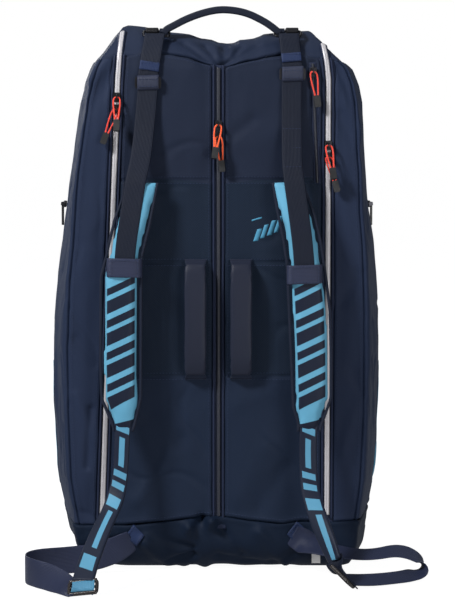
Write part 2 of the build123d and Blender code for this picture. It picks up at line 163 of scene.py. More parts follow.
def woven(name, rgb, thread=0.0008, relief=0.00012, roughness=0.62, sheen=0.25, mottle=0.10, space="UV"):
    """Plain woven polyester: threads over and under, small slubs, and a large soft mottle that is partly fading and
    partly painted shade of folds.
    """
    finish = Finish(name, roughness, Sheen_Weight=0.25 * sheen, Sheen_Roughness=0.4, Specular_IOR_Level=0.12)
    finish.shader.inputs["Sheen Tint"].default_value = linear(120, 140, 175)
    across, along, height = finish.split(space)
    if space == "Object":
        along = height
    warp = finish.wave(across, thread)
    weft = finish.wave(along, thread)
    weave = finish.math("MAXIMUM", warp, weft)
    slub = finish.noise(space, 900, 3, (1, 0.25, 1))
    # large soft mottle: partly fading of the fabric, partly painted shade standing in for folds
    fading_and_fold_shade = finish.noise("Object", 9, 4)
    level = finish.math("MULTIPLY_ADD", weave, 0.16, 0.80 - mottle)
    level = finish.math("MULTIPLY_ADD", slub, 0.22, level)
    level = finish.math("MULTIPLY_ADD", fading_and_fold_shade, 2 * mottle, level)
    finish.colour(finish.shade(linear(*rgb), level))
    finish.rough(finish.math("MULTIPLY_ADD", fading_and_fold_shade, 0.16, roughness - 0.08))
    finish.bump(weave, relief, 0.6)
    finish.bump(finish.noise("Object", 60, 4), 0.0009, 0.35)
    return finish


def front_fabric(name, rgb):
    return woven(name, rgb).material


def ripstop(name, rgb):
    """Fine technical mesh: rows of small dark holes set diagonally."""
    finish = woven(name, rgb, thread=0.0011, sheen=0.15, mottle=0.08)
    across, along, _ = finish.split("UV")
    one = finish.wave(finish.math("ADD", across, along), 0.0034)
    two = finish.wave(finish.math("SUBTRACT", across, along), 0.0034)
    hole = finish.band(finish.math("MULTIPLY", one, two), 0.62, 2.0, 0.12)
    base = finish.shader.inputs["Base Color"].links[0].from_socket
    finish.colour(finish.shade(base, finish.math("MULTIPLY_ADD", hole, -0.75, 1.2)))
    finish.bump(hole, -0.0003, 0.7)
    return finish.material


def ribbed(name, rgb, roughness=0.5, sheen=0.3, rib=0.0019):
    """Woven webbing: cords along its length, crossed by a fine weft, with thicker edges."""
    finish = Finish(name, roughness, Sheen_Weight=0.25 * sheen, Sheen_Roughness=0.35, Specular_IOR_Level=0.16)
    finish.shader.inputs["Sheen Tint"].default_value = linear(130, 140, 170)
    across, along, _ = finish.split("UV")
    cords = finish.wave(across, rib)
    twill = finish.wave(finish.math("MULTIPLY_ADD", across, 0.8, along), 0.0013)
    fuzz = finish.noise("UV", 700, 3)
    soft = finish.noise("Object", 24, 3)
    level = finish.math("MULTIPLY_ADD", cords, 0.16, 0.62)
    level = finish.math("MULTIPLY_ADD", twill, 0.12, level)
    level = finish.math("MULTIPLY_ADD", fuzz, 0.20, level)
    level = finish.math("MULTIPLY_ADD", soft, 0.30, level)
    finish.colour(finish.shade(linear(*rgb), level))
    finish.rough(finish.math("MULTIPLY_ADD", soft, 0.2, roughness - 0.1))
    finish.bump(cords, 0.00028, 0.7)
    finish.bump(twill, 0.00015, 0.5)
    return finish.material


def moulded(name, rgb, roughness=0.38):
    """Moulded plastic with a fine spark texture and scuffed edges."""
    finish = Finish(name, roughness, Specular_IOR_Level=0.5)
    grain = finish.noise("Object", 1800, 2)
    scuff = finish.noise("Object", 160, 4)
    finish.colour(finish.shade(linear(*rgb), finish.math("MULTIPLY_ADD", scuff, 0.5, 0.75)))
    finish.rough(finish.math("MULTIPLY_ADD", scuff, 0.25, roughness - 0.12))
    finish.bump(grain, 0.00008, 0.5)
    return finish.material


def metal(name, rgb, roughness=0.25):
    """Plated metal with fine handling marks."""
    finish = Finish(name, roughness, Metallic=1.0)
    marks = finish.noise("Object", 240, 4, (1, 1, 0.2))
    finish.colour(finish.shade(linear(*rgb), finish.math("MULTIPLY_ADD", marks, 0.4, 0.8)))
    finish.rough(finish.math("MULTIPLY_ADD", marks, 0.3, roughness - 0.1))
    finish.bump(marks, 0.00006, 0.4)
    return finish.material


def zip_stripe(name, rgb):
    """Reflective film over a reversed zip: silver, with the pressed rows of teeth under it."""
    finish = Finish(name, 0.45, Metallic=0.25, Specular_IOR_Level=0.5)
    across, along, _ = finish.split("UV")
    teeth = finish.wave(along, 0.0021)
    seam = finish.band(across, -0.00035, 0.00035, 0.0002)
    dull = finish.noise("UV", 120, 4)
    level = finish.math("MULTIPLY_ADD", dull, 0.2, 0.88)
    level = finish.math("MULTIPLY_ADD", seam, -0.22, level)
    level = finish.math("MULTIPLY_ADD", teeth, 0.06, level)
    finish.colour(finish.shade(linear(*rgb), level))
    finish.bump(teeth, 0.00016, 0.5)
    finish.bump(seam, -0.0004, 0.8)
    return finish.material


def cord_finish(name, rgb):
    """Braided cord: two sets of strands crossing round it."""
    finish = Finish(name, 0.5, Sheen_Weight=0.3, Specular_IOR_Level=0.4)
    x, y, z = finish.split("Object")
    side = finish.math("ADD", x, y)
    one = finish.wave(finish.math("ADD", z, side), 0.0012)
    two = finish.wave(finish.math("SUBTRACT", z, side), 0.0012)
    braid = finish.math("MAXIMUM", one, two)
    fuzz = finish.noise("Object", 900, 2)
    level = finish.math("MULTIPLY_ADD", braid, 0.35, 0.62)
    level = finish.math("MULTIPLY_ADD", fuzz, 0.25, level)
    finish.colour(finish.shade(linear(*rgb), level))
    finish.bump(braid, 0.00025, 0.8)
    return finish.material


# printed shapes: middle across, middle up, half across, half up, slant; across is in half widths or
# metres and up is in metres
PAD_SHAPES = [
    (0.00, 0.4070, 0.70, 0.0050, 0.013), (0.00, 0.3860, 0.70, 0.0090, 0.013),
    (0.00, 0.3630, 0.70, 0.0055, 0.013), (0.00, 0.3420, 0.70, 0.0090, 0.013),
    (0.00, 0.3190, 0.70, 0.0055, 0.013), (0.00, 0.2980, 0.70, 0.0090, 0.013),
    (0.00, 0.2750, 0.70, 0.0055, 0.013), (0.00, 0.2540, 0.70, 0.0085, 0.013),
    (0.00, 0.2120, 1.20, 0.0080, 0.004),
]
STRAP_SHAPES = [
    (0.0000, 0.0200, 0.0090, 0.0048, 0.35), (0.0000, 0.0520, 0.0038, 0.0200, 0.35),
    (0.0000, 0.0830, 0.0090, 0.0045, 0.35), (0.0000, 0.0990, 0.0090, 0.0045, 0.35),
    (0.0000, 0.1240, 0.0095, 0.0085, 0.35), (0.0020, 0.1720, 0.0040, 0.0330, 0.35),
    (0.0000, 0.2300, 0.0100, 0.0120, 0.35),
]


def printed(name, shapes, ground, ink, edge=None, edge_top=None):
    """Smooth printed fabric: slanted blocks of ink on a ground, and a dark bound edge."""
    finish = Finish(name, 0.48, Sheen_Weight=0.04, Specular_IOR_Level=0.15)
    across, along, _ = finish.split("UV")
    x, _, z = finish.split("Object")
    cover = 0.0
    soft = 0.03 if edge else 0.0004
    for middle_u, middle_v, half_u, half_v, slant in shapes:
        level = finish.math("MULTIPLY_ADD", across, -slant, along)
        inside_u = finish.band(across, middle_u - half_u, middle_u + half_u, soft)
        inside_v = finish.band(level, middle_v - half_v, middle_v + half_v, 0.0005)
        one = finish.math("MULTIPLY", inside_u, inside_v)
        cover = finish.math("MAXIMUM", cover, one)
    base = finish.mix(cover, linear(*ground), linear(*ink)) if shapes else linear(*ground)
    if edge:
        rim = finish.math("GREATER_THAN", finish.math("ABSOLUTE", across), edge)
        rim = finish.math("MULTIPLY", rim, finish.math("LESS_THAN", along, edge_top))
        base = finish.mix(rim, base, linear(26, 32, 48))
    warp = finish.wave(x, 0.0009)
    weft = finish.wave(z, 0.0009)
    weave = finish.math("MAXIMUM", warp, weft)
    # large soft mottle: partly fading of the fabric, partly painted shade standing in for folds
    fading_and_fold_shade = finish.noise("Object", 22, 4)
    level = finish.math("MULTIPLY_ADD", weave, 0.10, 0.78)
    level = finish.math("MULTIPLY_ADD", fading_and_fold_shade, 0.30, level)
    finish.colour(finish.shade(base, level))
    finish.rough(finish.math("MULTIPLY_ADD", fading_and_fold_shade, 0.2, 0.38))
    finish.bump(weave, 0.00010, 0.5)
    finish.bump(finish.noise("Object", 48, 3), 0.0012, 0.35)
    return finish.material


M = {
    "front": front_fabric("front_polyester", (26, 34, 52)),
    "top": front_fabric("top_polyester", (28, 37, 57)),
    "lower": front_fabric("lower_polyester", (23, 34, 53)),
    "mesh": ripstop("front_mesh", (20, 31, 47)),
    "side": front_fabric("side_polyester", (31, 41, 63)),
    "base": front_fabric("base_polyester", (14, 26, 44)),
    "back": front_fabric("back_polyester", (30, 38, 56)),
    "tape": ribbed("zip_tape_weave", (32, 40, 62), 0.6, 0.2, 0.0012),
    "coil": moulded("zip_coil", (21, 26, 40), 0.5),
    "stripe": zip_stripe("zip_stripe_film", (186, 184, 188)),
    "webbing": ribbed("webbing_weave", (18, 24, 39), 0.6, 0.08),
    "tab": ribbed("tab_weave", (14, 15, 20)),
    "patch": ribbed("patch_weave", (46, 51, 72), 0.42, 0.45),
    "binding": ribbed("binding_weave", (26, 32, 48), 0.6, 0.2, 0.0011),
    "sewn": ribbed("sewn_webbing_weave", (33, 46, 78), 0.5, 0.3),
    # painted highlight: the strap webbing where it folds round the buckle's bar, coloured lighter than the same
    # webbing elsewhere
    "fold": ribbed("folded_webbing_painted_highlight", (45, 50, 68), 0.5, 0.35),
    "lower_web": ribbed("lower_webbing_weave", (38, 44, 66), 0.42, 0.45),
    "held": ribbed("held_webbing_weave", (74, 128, 158), 0.5, 0.3),
    "print_plain": printed("plain_print", [], (70, 134, 166), (70, 134, 166)),
    "print_left": printed("pad_print_left", PAD_SHAPES, (93, 156, 186), (22, 29, 46), 0.87, 0.448),
    "print_right": printed("pad_print_right", PAD_SHAPES, (93, 156, 186), (22, 29, 46), 0.87, 0.448),
    "strap_print": printed("strap_print", STRAP_SHAPES, (24, 31, 48), (84, 142, 172)),
    "satin": woven("grip_satin", (34, 38, 52), 0.0006, 0.00008, 0.40, 0.9, 0.14, "Object").material,
    "handle": woven("handle_fabric", (26, 31, 44), 0.0007, 0.0001, 0.55, 0.3, 0.10, "Object").material,
    "cord_red": cord_finish("pull_cord_red", (226, 58, 38)),
    "cord_orange": cord_finish("pull_cord_orange", (250, 92, 36)),
    "pull": moulded("pull_rubber", (24, 25, 28), 0.45),
    "slider": metal("slider_gunmetal", (60, 60, 64), 0.32),
    "ring": metal("ring_gunmetal", (50, 50, 54), 0.22),
    "buckle": moulded("buckle_black", (34, 30, 30), 0.28),
    "thread": woven("seam_thread", (48, 58, 84), 0.0006, 0.00006, 0.7, 0.2, 0.05, "Object").material,
    "tag": woven("tag_satin", (205, 205, 205), 0.0006, 0.00006, 0.5, 0.2, 0.12, "Object").material,
    "lining": woven("lining_taffeta", (60, 64, 74), 0.0007, 0.00008, 0.5, 0.2, 0.1, "Object").material,
    "board": moulded("base_board_plastic", (40, 42, 46), 0.6),
}


# ---------------------------------------------------------------- lines and meshes
def chaikin(points, rounds=3):
    """A line with its corners cut smooth, keeping both ends."""
    line = np.array(points, float)
    for _ in range(rounds):
        first, second = line[:-1], line[1:]
        cut = np.stack([first * 0.75 + second * 0.25, first * 0.25 + second * 0.75], 1)
        line = np.vstack([line[:1], cut.reshape(-1, line.shape[1]), line[-1:]])
    return line


def resample(line, step):
    """Evenly spaced points along a line, about step apart."""
    run = np.concatenate([[0], np.cumsum(np.linalg.norm(np.diff(line, axis=0), axis=1))])
    count = max(2, int(round(run[-1] / step)) + 1)
    at = np.linspace(0, run[-1], count)
    return np.stack([np.interp(at, run, line[:, k]) for k in range(line.shape[1])], 1)


def lerp_table(table, at):
    """Look a value up in (at, value) pairs."""
    keys, values = zip(*table)
    return np.interp(at, keys, values)


def new_object(name, points, faces, material, uv=None):
    """A smooth-shaded mesh object from points in millimetres."""
    mesh = bpy.data.meshes.new(name)
    mesh.from_pydata((np.asarray(points, float) * MM).tolist(), [], faces)
    if uv is not None:
        layer = mesh.uv_layers.new(name="UVMap")
        corners = np.zeros(len(mesh.loops), np.int32)
        mesh.loops.foreach_get("vertex_index", corners)
        layer.data.foreach_set("uv", (np.asarray(uv, float)[corners] * MM).astype(np.float32).ravel())
    mesh.shade_smooth()
    for one in material if isinstance(material, list) else [material]:
        mesh.materials.append(one)
    item = bpy.data.objects.new(name, mesh)
    bpy.context.scene.collection.objects.link(item)
    return item


def grid_faces(rows, columns, closed=False):
    """Quads of a grid; a closed one joins its last column to its first."""
    faces = []
    for r in range(rows - 1):
        for c in range(columns if closed else columns - 1):
            d = (c + 1) % columns
            faces.append((r * columns + c, r * columns + d, (r + 1) * columns + d, (r + 1) * columns + c))
    return faces


def grid_object(name, points, material, closed=False, thick=0.0, uv=None):
    """A sheet from a grid of points, with its own thickness behind it."""
    rows, columns = points.shape[:2]
    if uv is None:
        over = np.linalg.norm(np.diff(points, axis=1), axis=2).cumsum(1)
        up = np.linalg.norm(np.diff(points, axis=0), axis=2).cumsum(0)
        u = np.concatenate([np.zeros((rows, 1)), over], 1)
        v = np.concatenate([np.zeros((1, columns)), up], 0)
        u = u - u[:, columns // 2 : columns // 2 + 1]
        uv = np.stack([u, v], 2)
    item = new_object(
        name, points.reshape(-1, 3), grid_faces(rows, columns, closed), material, uv.reshape(-1, 2)
    )
    if thick:
        solid = item.modifiers.new("thickness", "SOLIDIFY")
        solid.thickness = thick * MM
        solid.offset = -1
    return item


def apply_modifiers(item):
    """Bake an object's modifiers into its mesh."""
    bpy.context.view_layer.update()
    graph = bpy.context.evaluated_depsgraph_get()
    mesh = bpy.data.meshes.new_from_object(item.evaluated_get(graph))
    item.modifiers.clear()
    item.data = mesh
    return item


def finish_piece(item, body, slot, *nodes):
    """Ride on a body and stand for its CAD nodes. The slot argument is not used."""
    if item.modifiers:
        apply_modifiers(item)
    if body:
        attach(item, body)
    if nodes:
        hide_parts(*nodes)
    return item


def ribbon(name, path, sides, width, thick, material, step=3.0, closed_ends=True, crown=0.0, cuts=9):
    """A strap along a path. sides are the width directions at the path's points."""
    joined = chaikin(np.hstack([np.array(path, float), np.array(sides, float)]), 3)
    widths = np.full(len(joined), width, float) if np.isscalar(width) else None
    if widths is None:
        shares = np.linspace(0, 1, len(width))
        widths = np.interp(np.linspace(0, 1, len(joined)), shares, width)
    line = resample(np.hstack([joined, widths[:, None]]), step)
    centre, across, wide = line[:, :3], line[:, 3:6], line[:, 6]
    ahead = np.gradient(centre, axis=0)
    ahead /= np.linalg.norm(ahead, axis=1)[:, None]
    across = across - (across * ahead).sum(1)[:, None] * ahead
    across /= np.linalg.norm(across, axis=1)[:, None]
    out = np.cross(ahead, across)
    spread = np.sin(np.linspace(-math.pi / 2, math.pi / 2, cuts))
    edge = np.clip((1 - np.abs(spread)) / 0.06, 0.25, 1) ** 0.5
    lift = crown * (1 - spread**2)
    top = [(s, 0.5 * e * thick + k) for s, e, k in zip(spread, edge, lift)]
    low = [(s, -0.5 * e * thick + k) for s, e, k in zip(spread[::-1], edge, lift)]
    section = top + low
    points = np.stack(
        [centre + across * (wide / 2 * s)[:, None] + out * h for s, h in section], 1
    )
    run = np.arange(len(centre)) * step
    uv = np.stack(
        [np.stack([wide / 2 * s, run], 1) for s, _ in section], 1
    )
    rows, columns = points.shape[:2]
    faces = grid_faces(rows, columns, True)
    if closed_ends:
        faces.append(tuple(range(columns))[::-1])
        faces.append(tuple((rows - 1) * columns + c for c in range(columns)))
    return new_object(name, points.reshape(-1, 3), faces, material, uv.reshape(-1, 2))


def tube(name, path, radius, material, step=3.0, closed=False, sides=8):
    """A round cord or piping along a path."""
    line = resample(chaikin(path, 3), step)
    ahead = np.gradient(line, axis=0)
    ahead /= np.linalg.norm(ahead, axis=1)[:, None]
    side = np.cross(ahead, np.array([0.13, -0.97, 0.21]))
    side /= np.linalg.norm(side, axis=1)[:, None]
    up = np.cross(ahead, side)
    turns = np.linspace(0, 2 * math.pi, sides, endpoint=False)
    points = np.stack([line + radius * (side * math.cos(t) + up * math.sin(t)) for t in turns], 1)
    run = np.arange(len(line)) * step
    uv = np.stack([np.stack([np.full(len(line), t * radius), run], 1) for t in turns], 1)
    faces = grid_faces(len(line), sides, True)
    faces.append(tuple(range(sides))[::-1])
    faces.append(tuple((len(line) - 1) * sides + c for c in range(sides)))
    return new_object(name, points.reshape(-1, 3), faces, material, uv.reshape(-1, 2))


def stitches(name, lines, material, length=2.9, gap=1.5, radius=0.38):
    """Rows of single stitches along lines, each a small rounded bar."""
    points, faces = [], []
    for line in lines:
        beads = resample(np.array(line, float), (length + gap) / 2)
        for a, b in zip(beads[::2], beads[1::2]):
            ahead = b - a
            size = np.linalg.norm(ahead)
            if size < 0.5:
                continue
            ahead = ahead / size
            side = np.cross(ahead, (0.3, -0.9, 0.3))
            side /= np.linalg.norm(side)
            up = np.cross(ahead, side)
            start = len(points)
            for share, fat in ((-0.15, 0.35), (0.1, 1.0), (0.9, 1.0), (1.15, 0.35)):
                for k in range(4):
                    turn = math.pi / 2 * k
                    points.append(
                        a + ahead * size * share + radius * fat * (side * math.cos(turn) + up * math.sin(turn))
                    )
            faces += [tuple(start + i for i in face) for face in grid_faces(4, 4, True)]
            faces += [(start + 3, start + 2, start + 1, start), tuple(start + 12 + k for k in range(4))]
    return new_object(name, points, faces, material)


# ---------------------------------------------------------------- the bag's skin
LEFT_OUTLINE = [
    (0, 150), (8, 182), (20, 205), (37, 217), (60, 222), (107, 231), (131, 235), (226, 239), (320, 240),
    (366, 237), (413, 233), (460, 226), (531, 217), (578, 210), (625, 203), (660, 198), (684, 192),
    (707, 184), (719, 178), (731, 169), (754, 152), (764, 140),
]
RIGHT_OUTLINE = [
    (0, 198), (6, 210), (20, 216), (37, 219), (60, 221), (107, 229), (131, 232), (226, 236), (320, 237),
    (366, 236), (413, 233), (460, 229), (507, 222), (578, 216), (625, 213), (660, 211), (684, 206),
    (707, 197), (719, 186), (731, 174), (740, 166), (754, 152), (764, 137),
]
SEAM_INSET = [(72, 31), (340, 32), (460, 27), (560, 21), (720, 20), (764, 18)]
TOP_LINE = [
    (-165, 756), (-126, 766), (-101, 763), (-74, 757), (-52, 754.5), (-38, 753.5), (-22, 748), (-8, 746.5),
    (2, 742.5), (14, 742), (24, 743), (32, 748), (54, 750), (66, 755), (85, 757), (132, 759), (160, 753),
]
TOP_SEAM = [
    (-150, 718), (-123, 724), (-113, 728), (-73, 726), (-44, 722), (-15, 714), (5, 709), (20, 713),
    (53, 720), (90, 724), (118, 728), (138, 721), (165, 718),
]
BOTTOM_SEAM = [
    (-160, 68), (-123, 68), (-96, 71), (-57, 75), (-21, 80), (2, 81), (45, 75), (92, 70), (118, 74),
    (162, 72), (206, 75),
]
# from the front seam round to the back seam: inwards from the widest point, and depth
SIDE_CURVE = [
    (31, -150), (27.5, -149.6), (24, -147), (21.5, -137), (19.5, -118), (11, -66), (3.5, -20), (1.2, 4),
    (4.6, 30), (12.7, 84), (20.4, 135), (23.5, 152), (27, 162), (34, 165),
]
ZIPS = {
    "left": [(72, -161.5), (690, -137), (720, -134.6), (764, -130)],
    "centre": [(72, 2), (764, 2)],
    "right": [(72, 154), (690, 154), (715, 151.5), (740, 147), (764, 143)],
}
HALF_TAPE = 8.5


def zip_x(name, z):
    """The x of a zip's track at a height."""
    return lerp_table(ZIPS[name], z)


def half_width(side, z):
    return lerp_table(LEFT_OUTLINE if side < 0 else RIGHT_OUTLINE, z)


def front_y(z):
    z = np.asarray(z, float)
    low = -100 - np.sqrt(np.clip(50**2 - np.clip(50 - z, 0, 50) ** 2, 0, None))
    high = -90 - np.sqrt(np.clip(60**2 - np.clip(z - 700, 0, 60) ** 2, 0, None))
    return np.where(z < 50, low, np.where(z > 700, high, -150.0))


def back_y(z):
    z = np.asarray(z, float)
    away = np.where(z < 40, 40 - z, np.clip(z - 720, 0, 40))
    return 125 + np.sqrt(np.clip(40**2 - np.clip(away, 0, 40) ** 2, 0, None))


def settle(points):
    """Sink the middle of the top, as the empty fabric does."""
    points = points.copy()
    x, z = points[..., 0], points[..., 2]
    share = np.clip((z - 690) / 70, 0, 1)
    share = share * share * (3 - 2 * share)
    points[..., 2] = z + share * (lerp_table(TOP_LINE, x) - 760)
    return points


# creases: start, end, width, height; a negative height is a valley
CREASES = [
    # gathers under the middle of the top
    ((4, -149, 714), (-16, -128, 748), 5, -3.5),
    ((8, -149, 712), (10, -118, 756), 4.5, -4),
    ((10, -149, 714), (34, -128, 748), 5, -3.2),
    ((-12, -149, 722), (-46, -130, 746), 6, -2.4),
    ((16, -149, 722), (56, -132, 744), 6, -2.2),
    ((0, -148, 728), (0, -124, 752), 6, 2.6),
    ((20, -147, 728), (22, -124, 752), 6, 2.6),
    # top shoulders
    ((-128, -150, 745), (-176, -148, 690), 10, 2.2),
    ((-140, -150, 700), (-186, -140, 640), 12, -1.8),
    ((166, -150, 706), (196, -140, 640), 10, -2.2),
    ((168, -150, 680), (202, -140, 610), 9, 2.0),
    ((170, -150, 640), (198, -145, 585), 9, -1.6),
    # centre panels
    ((49, -150, 634), (24, -150, 614), 9, -1.6),
    ((60, -150, 604), (112, -150, 640), 16, 1.4),
    ((-28, -150, 590), (-84, -150, 650), 20, 1.2),
    ((-66, -150, 168), (-112, -150, 104), 12, 2.4),
    ((-52, -150, 190), (-100, -150, 128), 12, -1.8),
    ((70, -150, 180), (30, -150, 110), 18, 1.6),
    ((96, -150, 150), (60, -150, 92), 12, -1.6),
    ((-30, -150, 250), (-92, -150, 226), 18, -1.2),
    ((20, -150, 236), (84, -150, 262), 16, 1.2),
    # outer strips
    ((-196, -150, 330), (-168, -150, 296), 9, -1.6),
    ((-198, -150, 250), (-170, -150, 190), 8, 1.8),
    ((-176, -150, 232), (-182, -150, 150), 5, -2.2),
    ((198, -150, 420), (172, -150, 380), 10, -1.5),
    ((200, -150, 240), (174, -150, 170), 10, 1.6),
    # side panels beside the seams
    ((-222, -120, 250), (-226, -100, 150), 6, -3.4),
    ((-232, -60, 300), (-229, -90, 170), 7, 2.8),
    ((-214, -136, 210), (-216, -130, 110), 4, -2.6),
    ((226, -110, 420), (234, -60, 330), 8, -3.2),
    ((222, -120, 350), (236, -60, 250), 9, 3.0),
    ((216, -130, 300), (232, -80, 190), 6, -2.8),
    ((-226, -70, 420), (-216, -120, 500), 9, -2.4),
    ((212, -120, 560), (214, -90, 480), 8, -2.2),
    ((-238, 30, 420), (-238, 90, 250), 14, 3.0),
    ((238, 30, 420), (238, 90, 230), 14, 3.0),
    ((-232, 20, 200), (-228, 110, 120), 12, -3.0),
    ((232, 20, 180), (228, 110, 100), 12, -3.0),
    # folds of the base
    ((-22, -146, 78), (-34, -112, 4), 6, -9),
    ((-8, -148, 74), (-16, -112, 2), 7, 6),
    ((-40, -150, 66), (-48, -114, 8), 7, 5),
    ((-36, -148, 34), (-92, -140, 52), 6, -3.5),
    ((-34, -142, 22), (-84, -124, 16), 6, -4.0),
    ((6, -148, 62), (34, -138, 26), 6, -4.0),
    ((2, -136, 24), (60, -124, 12), 7, -3.5),
    ((60, -148, 58), (96, -130, 16), 9, 3.5),
    ((-100, -148, 44), (-70, -124, 14), 9, 3.5),
    ((128, -146, 40), (74, -124, 12), 7, -3.5),
    ((-150, -142, 42), (-192, -118, 20), 8, -3.5),
    ((-128, -146, 22), (-172, -132, 34), 6, -2.5),
    # back
    ((-90, 165, 600), (70, 165, 560), 30, -2.0),
    ((90, 165, 300), (-60, 165, 340), 34, 2.4),
    ((-120, 165, 160), (-20, 165, 120), 26, -2.4),
]
CROSS_SEAMS = (551, 437, 278)
GRIPS = {"left": -29.7, "right": 33.3}


def segment_distance(points, start, end):
    """How far points are from a straight segment."""
    start, end = np.array(start, float), np.array(end, float)
    run = end - start
    share = np.clip(((points - start) @ run) / (run @ run), 0, 1)
    return np.linalg.norm(points - start - share[..., None] * run, axis=-1)


def crease_line(x, y, z):
    """1 along thin wandering lines, fading in and out, as where full cloth folds sharply."""
    line = noise.noise(Vector(((x + 0.5 * z) / 74, y / 60, (z - 0.3 * x) / 96 + 11)))
    where = noise.noise(Vector((x / 90 + 3, y / 90, z / 110)))
    return max(0.0, 1 - abs(line) * 9) * min(1.0, max(0.0, where * 5))


def rumple(points, amount=1.0, crease_depth=1.5):
    """Creases and soft unevenness of the filled fabric, in millimetres outwards."""
    flat = points.reshape(-1, 3)
    rise = np.zeros(len(flat))
    for start, end, width, height in CREASES:
        near = segment_distance(flat, start, end)
        rise += crease_depth * height * np.exp(-((near / width) ** 2))
    soft = np.array(
        [
            noise.noise(Vector((x / 62, y / 62, z / 88)))
            + 0.3 * noise.noise(Vector((x / 17 + 7, y / 17, z / 30)))
            - 0.9 * crease_line(x, y, z)
            for x, y, z in flat
        ]
    )
    return (rise + amount * 1.7 * soft).reshape(points.shape[:-1])


def outward(points, closed=False):
    """Normals of a grid of points whose columns run left to right seen from outside."""
    if closed:
        over = np.roll(points, -1, axis=1) - np.roll(points, 1, axis=1)
    else:
        over = np.gradient(points, axis=1)
    up = np.gradient(points, axis=0)
    normal = np.cross(over, up)
    size = np.linalg.norm(normal, axis=2, keepdims=True)
    return normal / np.maximum(size, 1e-9)


def edge_steps(length, step):
    """Shares from 0 to 1, close together at both ends for a rolled seam edge."""
    near = [0, 0.5, 1.1, 2.0, 3.2, 5.0]
    middle = np.linspace(7.0, length - 7.0, max(2, int((length - 14) / step) + 1))
    return np.concatenate([near, middle, length - np.array(near[::-1])]) / length


def rolled(distance, drop=2.4):
    """A panel's rolled edge: it turns down into the seam."""
    return -drop * np.exp(-((distance / 1.3) ** 2)) + 0.9 * np.exp(-(((distance - 4) / 3.2) ** 2))


def front_seam_x(side, z):
    return side * (half_width(side, z) - lerp_table(SEAM_INSET, z))


def front_panel(name, left, right, step, material, node, cross=(), pocket=None, swell=2.0, top_seam=1.0):
    """A panel of the front between two edges, each a function of height."""
    us = edge_steps(float(right(400.0) - left(400.0)), step)
    vs = edge_steps(645.0, step)
    guess = left(400.0) + us * (right(400.0) - left(400.0))
    low, high = lerp_table(BOTTOM_SEAM, guess), lerp_table(TOP_SEAM, guess)
    z = low[None, :] + vs[:, None] * (high - low)[None, :]
    x = left(z) + us[None, :] * (right(z) - left(z))
    points = np.stack([x, front_y(z), z], 2)
    near_side = np.minimum(x - left(z), right(z) - x)
    rise = rumple(points, 1.0) + rolled(near_side) + rolled(z - low[None, :])
    rise += top_seam * rolled(high[None, :] - z)
    rise += swell * np.clip(near_side / 30, 0, 1) ** 0.8
    for height in cross:
        gap = np.abs(z - height)
        rise += -1.6 * np.exp(-((gap / 1.8) ** 2)) + 0.5 * np.exp(-(((gap - 5) / 3) ** 2))
    if pocket:
        gap = np.abs(x - pocket(z))
        inside = (z > 545) & (z < 716)
        rise = np.where((gap < 5.5) & inside, np.minimum(rise, -1.2), rise)
    # the fabric lies flat behind the two grips
    for grip_x in GRIPS.values():
        behind = np.exp(-(((x - grip_x) / 24) ** 6) - (((z - 357) / 98) ** 6))
        rise = np.where(rise > 0, rise * (1 - behind), rise)
    keep_clear = np.minimum(near_side / 14, 1)
    rise = np.where(rise > 0, rise * (0.25 + 0.75 * keep_clear), rise)
    points = points + outward(points) * rise[..., None]
    item = grid_object(name, settle(points), material, thick=1.6)
    if cross:
        rows, columns = z.shape
        middle = z[:, columns // 2]
        for index, face in enumerate(item.data.polygons):
            height = middle[index // (columns - 1)]
            if height > cross[0]:
                face.material_index = 0
            elif height > cross[-1]:
                face.material_index = 1
            else:
                face.material_index = 2
    return finish_piece(item, "bag", "front_fabric", node)


STEP = 2.6
front_three = [M["front"], M["mesh"], M["lower"]]
front_panel(
    "skin_front_left",
    lambda z: zip_x("left", z) + HALF_TAPE,
    lambda z: zip_x("centre", z) - HALF_TAPE,
    STEP, front_three, "front_panel_left", CROSS_SEAMS,
)
front_panel(
    "skin_front_right",
    lambda z: zip_x("centre", z) + HALF_TAPE,
    lambda z: zip_x("right", z) - HALF_TAPE,
    STEP, front_three, "front_panel_right", CROSS_SEAMS,
    pocket=lambda z: 132 + 7 * (712 - z) / 167,
)
front_panel(
    "skin_strip_left",
    lambda z: front_seam_x(-1, z),
    lambda z: zip_x("left", z) - HALF_TAPE,
    STEP, M["side"], "front_strip_left", swell=1.2, top_seam=0.1,
)
front_panel(
    "skin_strip_right",
    lambda z: zip_x("right", z) + HALF_TAPE,
    lambda z: front_seam_x(1, z),
    STEP, M["side"], "front_strip_right", swell=1.2, top_seam=0.1,
)

side_line = resample(chaikin(SIDE_CURVE, 3), 1.0)


def side_points(side, z, shares):
    """Points round a side, from the front seam to the back seam."""
    at = shares * (len(side_line) - 1)
    inset = np.interp(at, np.arange(len(side_line)), side_line[:, 0])
    depth = np.interp(at, np.arange(len(side_line)), side_line[:, 1])
    first = lerp_table(SEAM_INSET, z) - SIDE_CURVE[0][0]
    inset = inset + first * np.exp(-((shares / 0.05) ** 2))
    x = side * (half_width(side, z) - inset)
    y = np.where(depth < 0, depth * front_y(z) / -150, depth * back_y(z) / BACK)
    return np.stack([x, y, z], -1)


